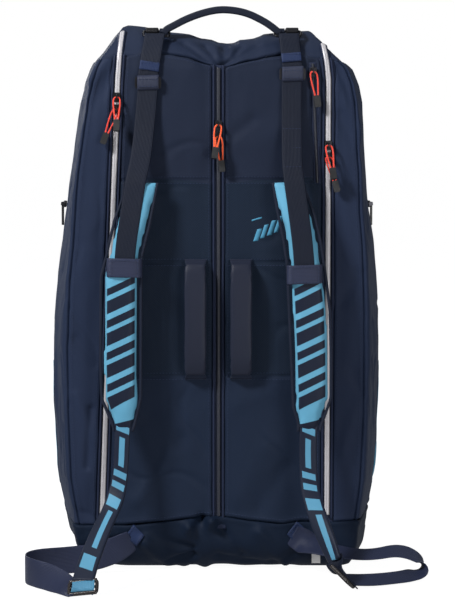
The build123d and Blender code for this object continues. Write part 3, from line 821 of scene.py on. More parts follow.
def side_panel(side, node):
    us = edge_steps(float(np.linalg.norm(np.diff(side_line, axis=0), axis=1).sum()), STEP * 1.4)
    vs = edge_steps(648.0, STEP * 1.4)
    front_x = side * 200.0
    low, high = lerp_table(BOTTOM_SEAM, front_x), lerp_table(TOP_SEAM, front_x)
    z = (low + vs * (high - low))[:, None] * np.ones_like(us)[None, :]
    shares = us[None, :] * np.ones_like(z)
    points = side_points(side, z, shares)
    length = 330.0
    near_side = np.minimum(shares, 1 - shares) * length
    rise = rumple(points, 1.3) + rolled(near_side) + rolled(z - low) + 0.1 * rolled(high - z)
    rise += 2.0 * np.clip(near_side / 60, 0, 1)
    # flat beside the zipped pocket across the back half
    y = points[..., 1]
    pocket = np.exp(-(((z - 512) / 20) ** 4)) * np.clip((y + 4) / 8, 0, 1) * np.clip((152 - y) / 8, 0, 1)
    rise = rise * (1 - pocket) - 0.3 * pocket
    rise -= 1.5 * np.exp(-(((y - 4) / 2.0) ** 2)) * (z < 512)
    if side > 0:
        points = points + outward(points) * rise[..., None]
    else:
        points = points - outward(points) * rise[..., None]
        points = points[:, ::-1]
    item = grid_object(f"skin_side_{'left' if side < 0 else 'right'}", settle(points), M["side"], thick=1.6)
    return finish_piece(item, "bag", "side_fabric", node)


side_panel(-1, "side_panel_left")
side_panel(1, "side_panel_right")


def perimeter(z_front, z_side, step):
    """Points all round the bag, anticlockwise from above, starting at the front left seam.

    z_front is a function of x for the front, and z_side a height for the rest.
    """
    half = np.linspace(-1, 1, int(400 / step))
    x0 = np.where(half < 0, -half * front_seam_x(-1, 400.0), half * front_seam_x(1, 400.0))
    z = z_front(x0)
    x = np.where(half < 0, -half * front_seam_x(-1, z), half * front_seam_x(1, z))
    front = np.stack([x, front_y(z), z], 1)
    shares = np.linspace(0, 1, int(330 / step))[1:]
    right = side_points(1, np.full(len(shares), float(z_side)), shares)
    left = side_points(-1, np.full(len(shares), float(z_side)), shares)[::-1]
    blend = np.clip(1 - shares / 0.08, 0, 1)
    right[:, 2] += blend * (front[-1, 2] - z_side)
    left[:, 2] += blend[::-1] * (front[0, 2] - z_side)
    back = np.linspace(right[-1], left[0], int(400 / step))[1:-1]
    return np.vstack([front, right, back, left])


def ring_grid(levels, step):
    return np.stack([perimeter(front, side, step) for front, side in levels])


def cap_rows(loop, centre, shares):
    """Rows that close a loop towards a point."""
    return np.stack([centre + (loop - centre) * s for s in shares])


ring_step = STEP * 1.5
# the base: a closed cap under the bag, then its wall up to the seam
base_levels = []
for share in np.concatenate([[0, 0.02, 0.05, 0.09, 0.14], np.linspace(0.2, 0.94, 18), [0.97, 0.985, 1.0]]):
    base_levels.append((lambda x, s=share: s * lerp_table(BOTTOM_SEAM, x), share * 71.0))
wall = ring_grid(base_levels, ring_step)
cap = cap_rows(wall[0], np.array([0, 10, 0.0]), [0.001, 0.3, 0.55, 0.75, 0.88, 0.95])
base_points = np.vstack([cap, wall])
levels = base_points[..., 2]
rise = rumple(base_points, 1.2, 2.6) * np.clip(levels / 10, 0, 1)
rise += 1.8 * np.clip((levels - 6) / 20, 0, 1) * (np.abs(base_points[..., 0]) > 190)
seam_z = np.array([base_points[-1, :, 2]])
rise += rolled(seam_z - levels)
rise -= 0.8 * np.clip(1 - levels / 6, 0, 1)
base_points = base_points + outward(base_points, True) * rise[..., None]
hem = np.array([4.5 * max(0.0, noise.noise(Vector((x / 34, 5.5, 0)))) for x in base_points[..., 0].ravel()])
edge_share = np.clip(1 - levels / 26, 0, 1) * (base_points[..., 1] < -60)
base_points[..., 2] += hem.reshape(levels.shape) * edge_share
base_points[..., 2] = np.maximum(base_points[..., 2], 0.3)
base_skin = grid_object("skin_base", base_points, M["base"], closed=True, thick=1.6)
finish_piece(base_skin, "bag", "base_fabric", "bottom_panel")

top_levels = []
for share in np.concatenate([[0, 0.015, 0.03, 0.06], np.linspace(0.1, 1.0, 22)]):
    top_levels.append(
        (
            lambda x, s=share: lerp_table(TOP_SEAM, x) + s * (759.9 - lerp_table(TOP_SEAM, x)),
            719.0 + share * 40.9,
        )
    )
wall = ring_grid(top_levels, ring_step)
cap = cap_rows(wall[-1], np.array([0, 30, 760.0]), [0.96, 0.9, 0.8, 0.68, 0.52, 0.34, 0.16, 0.001])
top_points = np.vstack([wall, cap])
rise = rumple(top_points, 2.0)
between_zips = (top_points[..., 0] > -136) & (top_points[..., 0] < 154) & (top_points[..., 1] < -80)
rise += rolled(top_points[..., 2] - top_points[0, :, 2]) * np.where(between_zips, 1.0, 0.1)
from_middle = np.hypot(top_points[..., 0], top_points[..., 1] - 30)
rise *= np.clip(from_middle / 90, 0, 1) ** 2
top_points = top_points + outward(top_points, True) * rise[..., None]
top_skin = grid_object("skin_top", settle(top_points), M["top"], closed=True, thick=1.6)
finish_piece(top_skin, "bag", "front_fabric", "top_panel")

# the stiff board that lies inside the base, within its rounded corners
board_points = np.array([[(x, y, 4.0) for x in np.linspace(-135, 175, 12)] for y in np.linspace(-80, 105, 8)])
board = grid_object("board_sheet", board_points, M["board"], thick=3.0)
finish_piece(board, "bag", "board", "base_board")

# the back panel, with two cross seams
us = edge_steps(400.0, STEP * 1.6)
vs = edge_steps(648.0, STEP * 1.6)
z = (72 + vs * 648)[:, None] * np.ones_like(us)[None, :]
left_x, right_x = -(half_width(-1, z) - 34), half_width(1, z) - 34
x = right_x + us[None, :] * (left_x - right_x)
points = np.stack([x, back_y(z), z], 2)
near = np.minimum(us, 1 - us)[None, :] * 400 * np.ones_like(z)
rise = rumple(points, 1.4) + rolled(near) + rolled(np.minimum(z - 72, 720 - z))
rise += 3.5 * np.clip(near / 70, 0, 1)
for height in (300, 560):
    rise -= 1.6 * np.exp(-(((z - height) / 2.4) ** 2))
points = points + outward(points) * rise[..., None]
back_skin = grid_object("skin_back", settle(points), M["back"], thick=1.6)
finish_piece(back_skin, "bag", "side_fabric", "back_panel")


# ---------------------------------------------------------------- laying things on the skin
def surface_of(*names):
    """The skin pieces as one set of faces that rays can meet."""
    vertices, faces = [], []
    for name in names:
        mesh = bpy.data.objects[name].data
        start = len(vertices)
        vertices += [v.co[:] for v in mesh.vertices]
        faces += [tuple(start + i for i in f.vertices) for f in mesh.polygons]
    return BVHTree.FromPolygons(vertices, faces)


front_skin = surface_of("skin_front_left", "skin_front_right", "skin_strip_left", "skin_strip_right", "skin_base")


def on_front(points, out=0.3, skin=None):
    """Points of x and z laid on the front, in millimetres."""
    laid = []
    for x, z in points:
        hit = (skin or front_skin).ray_cast(Vector((x * MM, -0.4, z * MM)), Vector((0, 1, 0)), 0.5)
        y = hit[0].y / MM if hit[0] else -150
        laid.append((x, y - out, z))
    return laid


def decal(name, corners, material, step=2.5, out=0.25):
    """A printed four-cornered shape on the front: lower left, lower right, upper right, upper left."""
    a, b, c, d = (np.array(p, float) for p in corners)
    across = max(2, int(np.linalg.norm(b - a) / step) + 1)
    up = max(2, int(np.linalg.norm(d - a) / step) + 1)
    us, vs = np.linspace(0, 1, across), np.linspace(0, 1, up)
    flat = [(a + (b - a) * u) * (1 - v) + (d + (c - d) * u) * v for v in vs for u in us]
    points = np.array(on_front(flat, out)).reshape(up, across, 3)
    return grid_object(name, points, material, thick=0.15)


def column(x_of, low, high, step=3.0):
    """Points of x and z up a line."""
    return [(float(x_of(z)), z) for z in np.arange(low, high, step)]


def row(z_of, low, high, step=3.0):
    return [(x, float(z_of(x))) for x in np.arange(low, high, step)]


# ---------------------------------------------------------------- zips
def round_normal(z):
    """The outward direction of the front's side view, as its y and z parts."""
    z = np.asarray(z, float)
    rise = np.clip((z - 700) / 60, 0, 0.98)
    fall = np.clip((50 - z) / 50, 0, 0.98)
    up = rise - fall
    return -np.sqrt(1 - up**2), up


def strip(name, x_of, low, high, profile, material, step=2.5, wobble=None):
    """A long strip up the front. profile is (sideways, outwards) points across it."""
    z = np.arange(low, high, step)
    ny, nz = round_normal(z)
    over_top = 3.4 * np.clip((z - 700) / 30, 0, 1)
    over_top = over_top * over_top * (10.2 - 2 * over_top) / 11.56
    columns = []
    for k, (aside, out) in enumerate(profile):
        extra = wobble(z, aside) if wobble else 0.0
        columns.append(
            np.stack(
                [
                    x_of(z) + aside,
                    front_y(z) + ny * (out + over_top + extra),
                    z + nz * (out + over_top + extra),
                ],
                1,
            )
        )
    points = np.stack(columns, 1)
    rows, count = points.shape[:2]
    uv = np.zeros((rows, count, 2))
    uv[..., 0] = np.array([aside for aside, _ in profile])[None, :]
    uv[..., 1] = z[:, None]
    return grid_object(name, settle(points), material, thick=0.8, uv=uv)


def arch(half, low, high, count=9):
    """A rounded profile across a strip."""
    spread = np.linspace(-1, 1, count)
    return [(half * s, low + (high - low) * math.sqrt(max(0, 1 - s**2))) for s in spread]


def teeth(z, aside):
    """The two interlocked rows of a coil."""
    return 0.28 * np.sin(2 * math.pi * z / 2.2 + (math.pi if aside > 0 else 0))


TAPE_PROFILE = [(s, -2.3) for s in np.linspace(-10.5, 10.5, 9)]
WELT = arch(1.9, -1.6, 1.2, 7)
for name, top in (("left", 752), ("centre", 716), ("right", 742)):
    track = lambda z, n=name: zip_x(n, z)
    tape = strip(f"tape_{name}", track, 62, min(top, 722), TAPE_PROFILE, M["tape"])
    finish_piece(tape, "bag", "zip_tape", f"zip_{name}")
    if name == "centre":
        coil = strip(f"coil_{name}", track, 80, 709, arch(3.2, -1.9, 0.7), M["coil"], 0.75, teeth)
        finish_piece(coil, "bag", "zip_tape")
    else:
        bed = strip(f"stripe_bed_{name}", track, 700, top, arch(5.6, -2.6, 0.2, 11), M["tape"], 1.5)
        finish_piece(bed, "bag", "zip_tape")
        stripe = strip(f"stripe_{name}", track, 82, top - 1, arch(3.7, -1.2, 0.9, 11), M["stripe"], 1.5)
        finish_piece(stripe, "bag", "zip_silver")
    for side, shift in (("a", -6.6), ("b", 6.6)):
        welt = strip(
            f"welt_{name}_{side}", lambda z, n=name, s=shift: zip_x(n, z) + s, 76, min(top, 722), WELT, M["tape"]
        )
        finish_piece(welt, "bag", "zip_tape")

pocket_track = lambda z: 132 + 7 * (712 - z) / 167
pocket_tape = strip("tape_pocket", pocket_track, 546, 714, [(s, -0.8) for s in (-5, -2.5, 0, 2.5, 5)], M["tape"])
finish_piece(pocket_tape, "bag", "zip_tape", "pocket_zips")
pocket_coil = strip("coil_pocket", pocket_track, 547, 712, arch(2.0, -0.6, 0.9), M["coil"], 0.75, teeth)
finish_piece(pocket_coil, "bag", "zip_tape")

for side, label in ((-1, "left"), (1, "right")):
    shares = np.linspace(0, 1, 200)
    ring = side_points(side, np.full(200, 512.0), shares)
    ring = ring[(ring[:, 1] > 4) & (ring[:, 1] < 144)]
    sideways = np.array([side * 0.98, 0.14, 0.12])
    for kind, wide, thick, out in (("tape", 13, 1.0, 0.5), ("coil", 4, 1.6, 1.2)):
        piece = ribbon(
            f"side_{kind}_{label}", ring + sideways * out, [(0, 0, side)] * len(ring), wide, thick,
            M[kind], step=2.0,
        )
        finish_piece(piece, "bag", "zip_tape")


# ---------------------------------------------------------------- rings, tabs and the top handle
UPPER_BAR = (-127.22, 756.58)
LOWER_BAR = (-135.89, 749.80)
for side, x in (("left", -90.5), ("right", 104.5)):
    path = [
        (x, -58, 760.6), (x, -84, 761.4), (x, -108, 761.6), (x, -122, 761.2), (x, -128.5, 760.0),
        (x, -131.2, 756.2), (x, -128.6, 753.2), (x, -124.0, 753.4), (x, -116, 756.2),
    ]
    tab = ribbon(f"ring_tab_{side}", path, [(1, 0, 0)] * len(path), 17, 2.0, M["tab"], 2.0)
    finish_piece(tab, "bag", "webbing", "webbing_tabs")

handle_path = [
    (-74, -127.2, 753.4), (-71, -127.2, 759), (-62, -127.2, 763.5), (-41, -127.2, 774.6),
    (-15, -127.2, 783.6), (9, -127.2, 787.4), (39, -127.2, 783.2), (64, -127.2, 771.4),
    (80, -127.2, 760.4), (87, -127.2, 753.4),
]
handle = ribbon(
    "handle_roll", handle_path, [(0, 1, 0)] * len(handle_path),
    [10, 11, 13, 13.5, 14, 14, 14, 13, 11, 10], 9.4, M["handle"], 2.0, cuts=13,
)
finish_piece(handle, "handle", "grip_fabric", "top_handle")
for side, x in (("left", -74.5), ("right", 88.5)):
    loop = [
        (x, UPPER_BAR[0] + 3.3 * math.sin(t), UPPER_BAR[1] + 3.3 * math.cos(t))
        for t in np.linspace(-0.5, 2 * math.pi + 0.5, 22)
    ]
    wrap = ribbon(f"handle_wrap_{side}", loop, [(1, 0, 0)] * len(loop), 10.5, 2.0, M["webbing"], 1.2)
    finish_piece(wrap, "handle", "webbing")
seam_lines = [
    [(x, -127.2 + s * 5.6, z + 3.9) for x, _, z in handle_path[2:8]] for s in (-1, 1)
]
finish_piece(
    stitches("handle_stitches", [chaikin(line, 3) for line in seam_lines], M["thread"]), "handle", "grip_fabric"
)


# ---------------------------------------------------------------- shoulder webbing
UPPER_WEB_X = {"left": ((-84, 765), (-95, 694)), "right": ((98, 765), (104, 706))}
LONG_WEB_X = {
    "left": [(-95, 676), (-104, 582), (-111, 553), (-126, 455), (-127, 414)],
    "right": [(103, 688), (103, 568), (108, 535), (118, 459), (121, 404)],
}
LONG_WEB_Y = [(398, -195.3), (440, -194.5), (500, -190.4), (554, -183.4), (597, -168.1), (640, -159.1), (690, -157.6)]
WEB = 28


def web_x(side, z):
    return lerp_table([(h, x) for x, h in LONG_WEB_X[side][::-1]], z)


def web_y(z):
    return lerp_table(LONG_WEB_Y, z)


for side, bar_x in (("left", -84), ("right", 98)):
    (top_x, top_z), (end_x, end_z) = UPPER_WEB_X[side]
    lean = (end_x - top_x) / (end_z - top_z)
    run = [
        (-130.2, 743.0), (-132.4, 747.4), (-133.6, 751.8), (-136.2, 753.0), (-138.8, 751.4), (-139.6, 748.0),
        (-142.2, 742.0), (-149.0, 731.0), (-153.6, 716.0), (-155.0, 704.0), (-155.2, end_z - 4),
    ]
    path = [(top_x + (z - top_z) * lean, y, z) for y, z in run]
    across = [(1, 0, 0)] * 6 + [(1, 0, lean)] * 5
    upper = ribbon(f"upper_web_{side}", path, across, WEB, 2.0, M["webbing"], 2.0)
    finish_piece(upper, f"strap_{side}", "webbing", f"upper_webbing_{side}")

    # the folded end sewn down above the buckle, and the fold round the buckle's bar
    patch_top = end_z + 20
    patch = [(top_x + (z - top_z) * lean, lerp_table([(694, -157.0), (716, -155.4), (731, -150.6)], z), z)
             for z in np.arange(patch_top - 12, patch_top + 1, 3)]
    sewn = ribbon(f"sewn_end_{side}", patch, [(1, 0, lean)] * len(patch), WEB - 0.6, 1.6, M["sewn"], 2.0)
    finish_piece(sewn, f"strap_{side}", "webbing")
    fold_z = 685 if side == "left" else 697
    fold_path = [
        (end_x, -154.2, fold_z + 3), (end_x, -154.8, fold_z + 8.6), (end_x, -158.2, fold_z + 10.2),
        (end_x, -161.2, fold_z + 7.0), (end_x, -161.6, fold_z - 1), (end_x, -161.0, fold_z - 6.6),
        (end_x, -159.4, fold_z - 8.8), (end_x, -156.2, fold_z - 9.2),
    ]
    # the fold's finish is the webbing coloured lighter, a painted highlight on the fold
    fold = ribbon(f"buckle_fold_{side}", fold_path, [(1, 0, 0.05)] * len(fold_path), WEB + 1.5, 2.0, M["fold"], 1.5)
    finish_piece(fold, f"strap_{side}", "webbing")

    heights = [fold_z - 2, 660, 628, 600, 576, 553, 530, 500, 470, 444, 424]
    path = [(web_x(side, z), web_y(z), z) for z in heights]
    path[0] = (path[0][0], -156.6, path[0][2])
    long_web = ribbon(f"long_web_{side}", path, [(1, 0, -0.12)] * len(path), WEB, 2.0, M["webbing"], 2.5)
    finish_piece(long_web, f"strap_{side}", "webbing", f"long_webbing_{side}")

    lines = []
    for z in (patch_top - 1.5, patch_top - 10.5):
        y = lerp_table([(694, -158.2), (716, -156.6), (731, -152)], z)
        x = top_x + (z - top_z) * lean
        lines.append([(x + s * 12, y, z) for s in (-1, -0.3, 0.3, 1)])
    for z in (fold_z + 4.5, fold_z - 5.5):
        lines.append([(end_x + s * 12.4, -162.8, z) for s in (-1, -0.3, 0.3, 1)])
    if side == "right":
        for z in (642, 622, 596, 570):
            lines.append([(web_x(side, z) + s * 12, web_y(z) - 1.3, z) for s in (-1, -0.3, 0.3, 1)])
    finish_piece(
        stitches(f"web_stitches_{side}", lines, M["thread"]), f"strap_{side}", "webbing"
    )


# ---------------------------------------------------------------- grips
def inflate(item, pressure, cap, voxel=4.5, pinned=None, frames=20):
    """Swell a closed shape as stuffed cloth, and keep no point further than cap from where it was."""
    remesh = item.modifiers.new("remesh", "REMESH")
    remesh.mode = "VOXEL"
    remesh.voxel_size = voxel * MM
    apply_modifiers(item)
    before = np.zeros(len(item.data.vertices) * 3)
    item.data.vertices.foreach_get("co", before)
    before = before.reshape(-1, 3)
    if pinned is not None:
        group = item.vertex_groups.new(name="pinned")
        held = [int(i) for i in np.nonzero(pinned(before / MM))[0]]
        group.add(held, 1.0, "REPLACE")
    cloth = item.modifiers.new("cloth", "CLOTH")
    settings = cloth.settings
    settings.use_pressure = True
    settings.uniform_pressure_force = pressure
    settings.effector_weights.gravity = 0
    settings.tension_stiffness = 30
    settings.compression_stiffness = 12
    settings.shear_stiffness = 10
    settings.bending_stiffness = 0.4
    settings.quality = 6
    if pinned is not None:
        settings.vertex_group_mass = "pinned"
    cloth.collision_settings.use_collision = False
    for frame_number in range(1, frames + 1):
        bpy.context.scene.frame_set(frame_number)
    graph = bpy.context.evaluated_depsgraph_get()
    moved = bpy.data.meshes.new_from_object(item.evaluated_get(graph))
    after = np.zeros(len(moved.vertices) * 3)
    moved.vertices.foreach_get("co", after)
    shift = after.reshape(-1, 3) - before
    size = np.linalg.norm(shift, axis=1, keepdims=True)
    shift *= np.minimum(1, cap * MM / np.maximum(size, 1e-9))
    item.modifiers.clear()
    item.data.vertices.foreach_set("co", (before + shift).ravel())
    bpy.context.scene.frame_set(1)
    smooth = item.modifiers.new("smooth", "SUBSURF")
    smooth.levels = smooth.render_levels = 1
    apply_modifiers(item)
    item.data.shade_smooth()
    return item


for side, x in GRIPS.items():
    path = [
        (x, -163.8, 281), (x, -166.6, 287), (x, -170.2, 300), (x, -171.8, 322), (x, -172.2, 357),
        (x, -171.8, 392), (x, -170.2, 415), (x, -166.6, 428), (x, -163.8, 434),
    ]
    body = ribbon(
        f"grip_sleeve_{side}", path, [(1, 0, 0)] * len(path), [27, 29.5, 31.5, 32, 32, 32, 31.5, 29.5, 27],
        6.8, M["satin"], 3.0, cuts=11,
    )
    inflate(body, 3.0, 2.2, 3.4, lambda p: (p[:, 2] < 286) | (p[:, 2] > 429))
    finish_piece(body, f"grip_{side}", "grip_fabric", f"grip_{side}")
    for end, sign, z in (("top", 1, 434), ("bottom", -1, 281)):
        path = [
            (x, -167.0, z - sign * 8), (x, -164.6, z - sign * 1), (x, -158.6, z + sign * 2.5),
            (x, -154.0, z + sign * 4.5), (x, -151.8, z + sign * 7),
        ]
        tail = ribbon(f"grip_{end}_{side}", path, [(1, 0, 0)] * 5, [26, 26.5, 28, 30, 31], 2.0, M["satin"], 1.5)
        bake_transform(tail)
        finish_piece(tail, None, "grip_fabric")


# ---------------------------------------------------------------- shoulder pads
PAD_BACK = [(190, -192.5), (228, -185), (300, -183), (440, -181), (500, -177), (552, -170)]
PAD_EDGES = {
    "left": (
        [(200, -119), (214, -114), (252, -105), (445, -104), (488, -93), (552, -81)],
        [(200, -141), (214, -143), (252, -159), (300, -160), (420, -159), (445, -152), (461, -149),
         (498, -140), (527, -129), (552, -127)],
    ),
    "right": (
        [(200, 112), (219, 112), (240, 105), (292, 103), (439, 96), (471, 91), (514, 82), (549, 77)],
        [(200, 140), (214, 143), (252, 157), (310, 157), (375, 155), (405, 151), (463, 143), (498, 135),
         (532, 123), (549, 115)],
    ),
}
PAD_LOW = 206


def pad_frame(side, z):
    """The middle and half width of a shoulder pad at a height."""
    inner, outer = (lerp_table(edge, z) for edge in PAD_EDGES[side])
    return (inner + outer) / 2, np.abs(outer - inner) / 2


for side in ("left", "right"):
    heights = np.arange(PAD_LOW, 551, 4.0)
    middle, half = pad_frame(side, heights)
    back = lerp_table(PAD_BACK, heights)
    thick = np.interp(heights, [206, 216, 234], [5, 8, 10.5])
    turns = np.linspace(0, 2 * math.pi, 28, endpoint=False)
    rows = []
    for k, z in enumerate(heights):
        end = min(1, (z - PAD_LOW + 3) / 8, (553.5 - z) / 8)
        end = math.sqrt(max(0.05, end))
        shape = []
        for t in turns:
            c, s = math.cos(t), math.sin(t)
            u = math.copysign(abs(c) ** 0.55, c) * (half[k] - 1.2)
            w = math.copysign(abs(s) ** 0.75, s) * thick[k] / 2 * end
            shape.append((middle[k] + u, back[k] - thick[k] / 2 - w, z))
        rows.append(shape)
    points = np.array(rows)
    faces = grid_faces(len(heights), len(turns), True)
    faces.append(tuple(range(len(turns)))[::-1])
    faces.append(tuple((len(heights) - 1) * len(turns) + i for i in range(len(turns))))
    pad = new_object(f"pad_{side}", points.reshape(-1, 3), faces, M[f"print_{side}"])
    inflate(pad, 3.0, 3.0, 4.4)
    pad.data.materials.clear()
    pad.data.materials.append(M[f"print_{side}"])
    co = np.zeros(len(pad.data.vertices) * 3)
    pad.data.vertices.foreach_get("co", co)
    co = co.reshape(-1, 3) / MM
    centre, wide = pad_frame(side, co[:, 2])
    uv = np.stack([(co[:, 0] - centre) / wide, co[:, 2] * MM], 1)
    layer = pad.data.uv_layers.new(name="UVMap")
    corners = np.zeros(len(pad.data.loops), np.int32)
    pad.data.loops.foreach_get("vertex_index", corners)
    layer.data.foreach_set("uv", uv[corners].astype(np.float32).ravel())
    finish_piece(pad, f"strap_{side}", "pad_print", f"shoulder_pad_{side}")

    for edge, table in zip(("inner", "outer"), PAD_EDGES[side]):
        z = np.arange(PAD_LOW, 550, 6.0)
        path = [
            (float(lerp_table(table, h)), float(lerp_table(PAD_BACK, h) - np.interp(h, [206, 234], [3, 6])), h)
            for h in z
        ]
        piping = tube(f"pad_binding_{edge}_{side}", path, 2.1, M["binding"], 3.0)
        finish_piece(piping, f"strap_{side}", "webbing")

# the narrow lower strap of each pad, down to its buckle
LOWER_STRAP = {
    "left": (
        [(-128.5, -189.0, 226), (-130.5, -193.5, 198), (-132, -199.5, 152), (-139, -213, 113),
         (-157, -250, 80), (-171, -288, 47), (-177.5, -316, 24)],
        [(1, 0, 0), (1, 0, 0), (1, 0, 0), (1, -0.05, 0.25), (1, -0.08, 0.30), (1, -0.1, 0.2), (1, -0.1, 0.12)],
        [32, 21, 20, 25, 29, 30, 30],
    ),
    "right": (
        [(127.5, -189.0, 226), (125, -193.5, 190), (125.5, -200, 150), (129, -211, 120),
         (138, -226, 92), (150, -240, 62), (160, -252, 38)],
        [(1, 0, 0), (1, 0, 0), (1, 0, 0), (1, -0.1, -0.1), (0.9, -0.3, -0.25), (0.7, -0.55, -0.35),
         (0.52, -0.68, -0.42)],
        [31, 24, 24, 25, 25, 26, 26],
    ),
}
for side, (path, across, wide) in LOWER_STRAP.items():
    strap = ribbon(f"pad_strap_{side}", path, across, wide, 4.6, M["strap_print"], 3.0, cuts=13, crown=0.8)
    finish_piece(strap, f"strap_{side}", "pad_print")

for side, (x, z) in (("left", (-127, 432)), ("right", (120, 423))):
    tilt = -0.02 if side == "left" else 0.03
    spots = [(-23.6, -189.5), (-23.2, -193.0), (-20, -196.2), (-10, -197.8), (0, -198.2), (10, -197.8),
             (20, -196.2), (23.2, -193.0), (23.6, -189.5)]
    path = [(x + dx, y, z + dx * tilt) for dx, y in spots]
    patch = ribbon(f"pad_patch_{side}", path, [(0, 0, 1)] * len(path), 26, 1.6, M["patch"], 2.0, cuts=11)
    finish_piece(patch, f"strap_{side}", "webbing", f"cross_patch_{side}")
    lines = [[(x + dx, -200.0, z + h) for dx in (-19, -8, 8, 19)] for h in (-10.5, 10.5)]
    lines += [[(x + dx, -200.0, z + h) for h in (-10, 10)] for dx in (-19, 19)]
    finish_piece(stitches(f"patch_stitches_{side}", lines, M["thread"]), f"strap_{side}", "webbing")

# ---------------------------------------------------------------- lower webbing and its anchors
LOWER_WEB = {
    "left": (
        [(-119, -151.6, 47), (-128, -154.0, 41), (-146, -158, 32), (-174, -161, 23.5), (-212, -165, 20.4),
         (-246, -174, 20.0), (-263, -194, 20.0), (-263, -226, 20.0), (-246, -250, 20.2), (-226, -268, 19),
         (-208, -290, 16), (-194, -312, 13), (-184, -328, 11)],
        [(0.45, 0, 0.9), (0.4, 0, 0.92), (0.15, 0, 1), (0, 0, 1), (0, 0, 1), (0, 0, 1), (0, 0, 1), (0, 0, 1),
         (0.05, 0.05, 1), (0.3, 0.2, 0.95), (0.7, 0.2, 0.6), (1, 0, 0.3), (1, -0.1, 0.12)],
        [30, 34, 37, 38, 38, 38, 38, 38, 37, 35, 32, 30, 28],
        ((-112, -153, 52), (-160, -160, 26)),
    ),
    "right": (
        [(106, -152.6, 54), (114, -154.6, 49), (130, -164, 43), (160, -174, 36), (196, -180, 31.5),
         (222, -180, 32.5), (246, -180, 37.5), (264, -181, 35.5), (279, -183, 28), (286, -186, 18.5),
         (281, -191, 9.5), (262, -204, 6.6), (236, -221, 7.2), (206, -240, 9.0), (180, -256, 13)],
        [(-0.35, 0, 0.9), (-0.35, 0.2, 0.85), (-0.2, 0.8, 0.5), (0, 0.96, 0.28), (0, 0.98, 0.20),
         (0, 0.98, 0.20), (0, 0.97, 0.24), (0, 0.96, 0.28), (0, 0.96, 0.28), (0, 0.96, 0.28),
         (0, 0.97, 0.22), (-0.1, 0.97, 0.2), (-0.3, 0.9, 0.25), (-0.45, 0.78, 0.36),
         (-0.52, 0.68, 0.42)],
        [30, 33, 36, 38, 38, 38, 38, 38, 38, 38, 36, 34, 31, 28, 26],
        ((106, -153, 54), (156, -173, 39)),
    ),
}
for side, (path, across, wide, (start, end)) in LOWER_WEB.items():
    web = ribbon(f"lower_web_{side}", path, across, wide, 2.0, M["lower_web"], 3.0, cuts=13)
    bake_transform(web)
    finish_piece(web, None, "webbing", f"lower_webbing_{side}")

# the stitched patch over each anchored end
for side, corners in (
    ("left", [(-113, 38), (-102, 54), (-117, 69), (-129, 52)]),
    ("right", [(98, 55), (111, 42), (126, 61), (112, 74)]),
):
    anchor = decal(f"anchor_{side}", corners, M["sewn"], 2.0, 3.2)
    finish_piece(anchor, "bag", "webbing")
    middle = np.mean(corners, 0)
    box = [tuple(middle + (np.array(c) - middle) * 0.78) for c in corners]
    box.append(box[0])
    rows = [resample(np.array([a, b]), 4.0) for a, b in zip(box, box[1:])]
    lines = [on_front(r, 3.9) for r in rows]
    finish_piece(stitches(f"anchor_stitches_{side}", lines, M["thread"]), "bag", "webbing")


# ladder locks: a rounded frame with a fatter grip bar and a middle bar
LOCKS = {
    "left": ((-177, -322, 17), (1, -0.1, 0.12), (0.1, -0.64, 0.76)),
    "right": ((169, -266, 19.5), (0.52, -0.68, -0.42), None),
}
for side, (centre, bar, normal) in LOCKS.items():
    bar = Vector(bar).normalized()
    normal = Vector(normal) if normal else bar.cross(Vector((0.45, 0.74, -0.50)))
    normal = (normal - bar * normal.dot(bar)).normalized()
    down = normal.cross(bar)

    def at(u, v, w=0.0, c=Vector(centre), a=bar, b=down, n=normal):
        return tuple(c + a * u + b * v + n * w)

    corner_points = [(0, 9.6), (17, 9.6), (18.6, 8), (18.6, -8), (17, -9.6), (-17, -9.6), (-18.6, -8),
                     (-18.6, 8), (-17, 9.6), (0, 9.6)]
    rail = tube(f"lock_frame_{side}", [at(u, v) for u, v in corner_points], 2.5, M["buckle"], 1.5, sides=10)
    finish_piece(rail, f"strap_{side}", "buckle", f"ladder_lock_{side}")
    for part, v, radius, lift in (("middle", 0.0, 1.9, 0.0), ("grip", 9.6, 3.0, 0.8), ("edge", -9.6, 2.8, 0.4)):
        path = [at(u, v, lift) for u in (-18.5, -9, 0, 9, 18.5)]
        piece = tube(f"lock_{part}_{side}", path, radius, M["buckle"], 2.0, sides=10)
        finish_piece(piece, f"strap_{side}", "buckle")


# the webbing held in each ladder lock
for side, path, across, wide in (
    (
        "left",
        [(-177.2, -311, 27), (-177.0, -316, 25.0), (-176.6, -321, 22.5), (-176.6, -326, 17.5),
         (-177.2, -328, 13.4), (-179, -324, 11.5)],
        [(1, -0.1, 0.12)] * 6, 30,
    ),
    (
        "right",
        [(158.5, -250, 40), (162, -256.5, 34), (166, -262, 28.5), (172, -266, 22), (178, -268, 15), (182, -262, 10)],
        [(0.52, -0.68, -0.42)] * 6, 28,
    ),
):
    held = ribbon(f"held_strap_{side}", path, across, wide, 2.0, M["held" if side == "left" else "webbing"], 2.0)
    finish_piece(held, f"strap_{side}", "webbing")


# ---------------------------------------------------------------- pull cords
CORD = 0.0024
EYE_Y = -0.1578
# one side of the moulded end, up through the slider's eye and back down the other side
LOOP = [
    (-0.0017, -0.035), (-0.0034, -0.0225), (-0.0049, -0.0095), (-0.0042, 0.0),
    (0.0042, 0.0), (0.0049, -0.0095), (0.0034, -0.0225), (0.0017, -0.035),
]
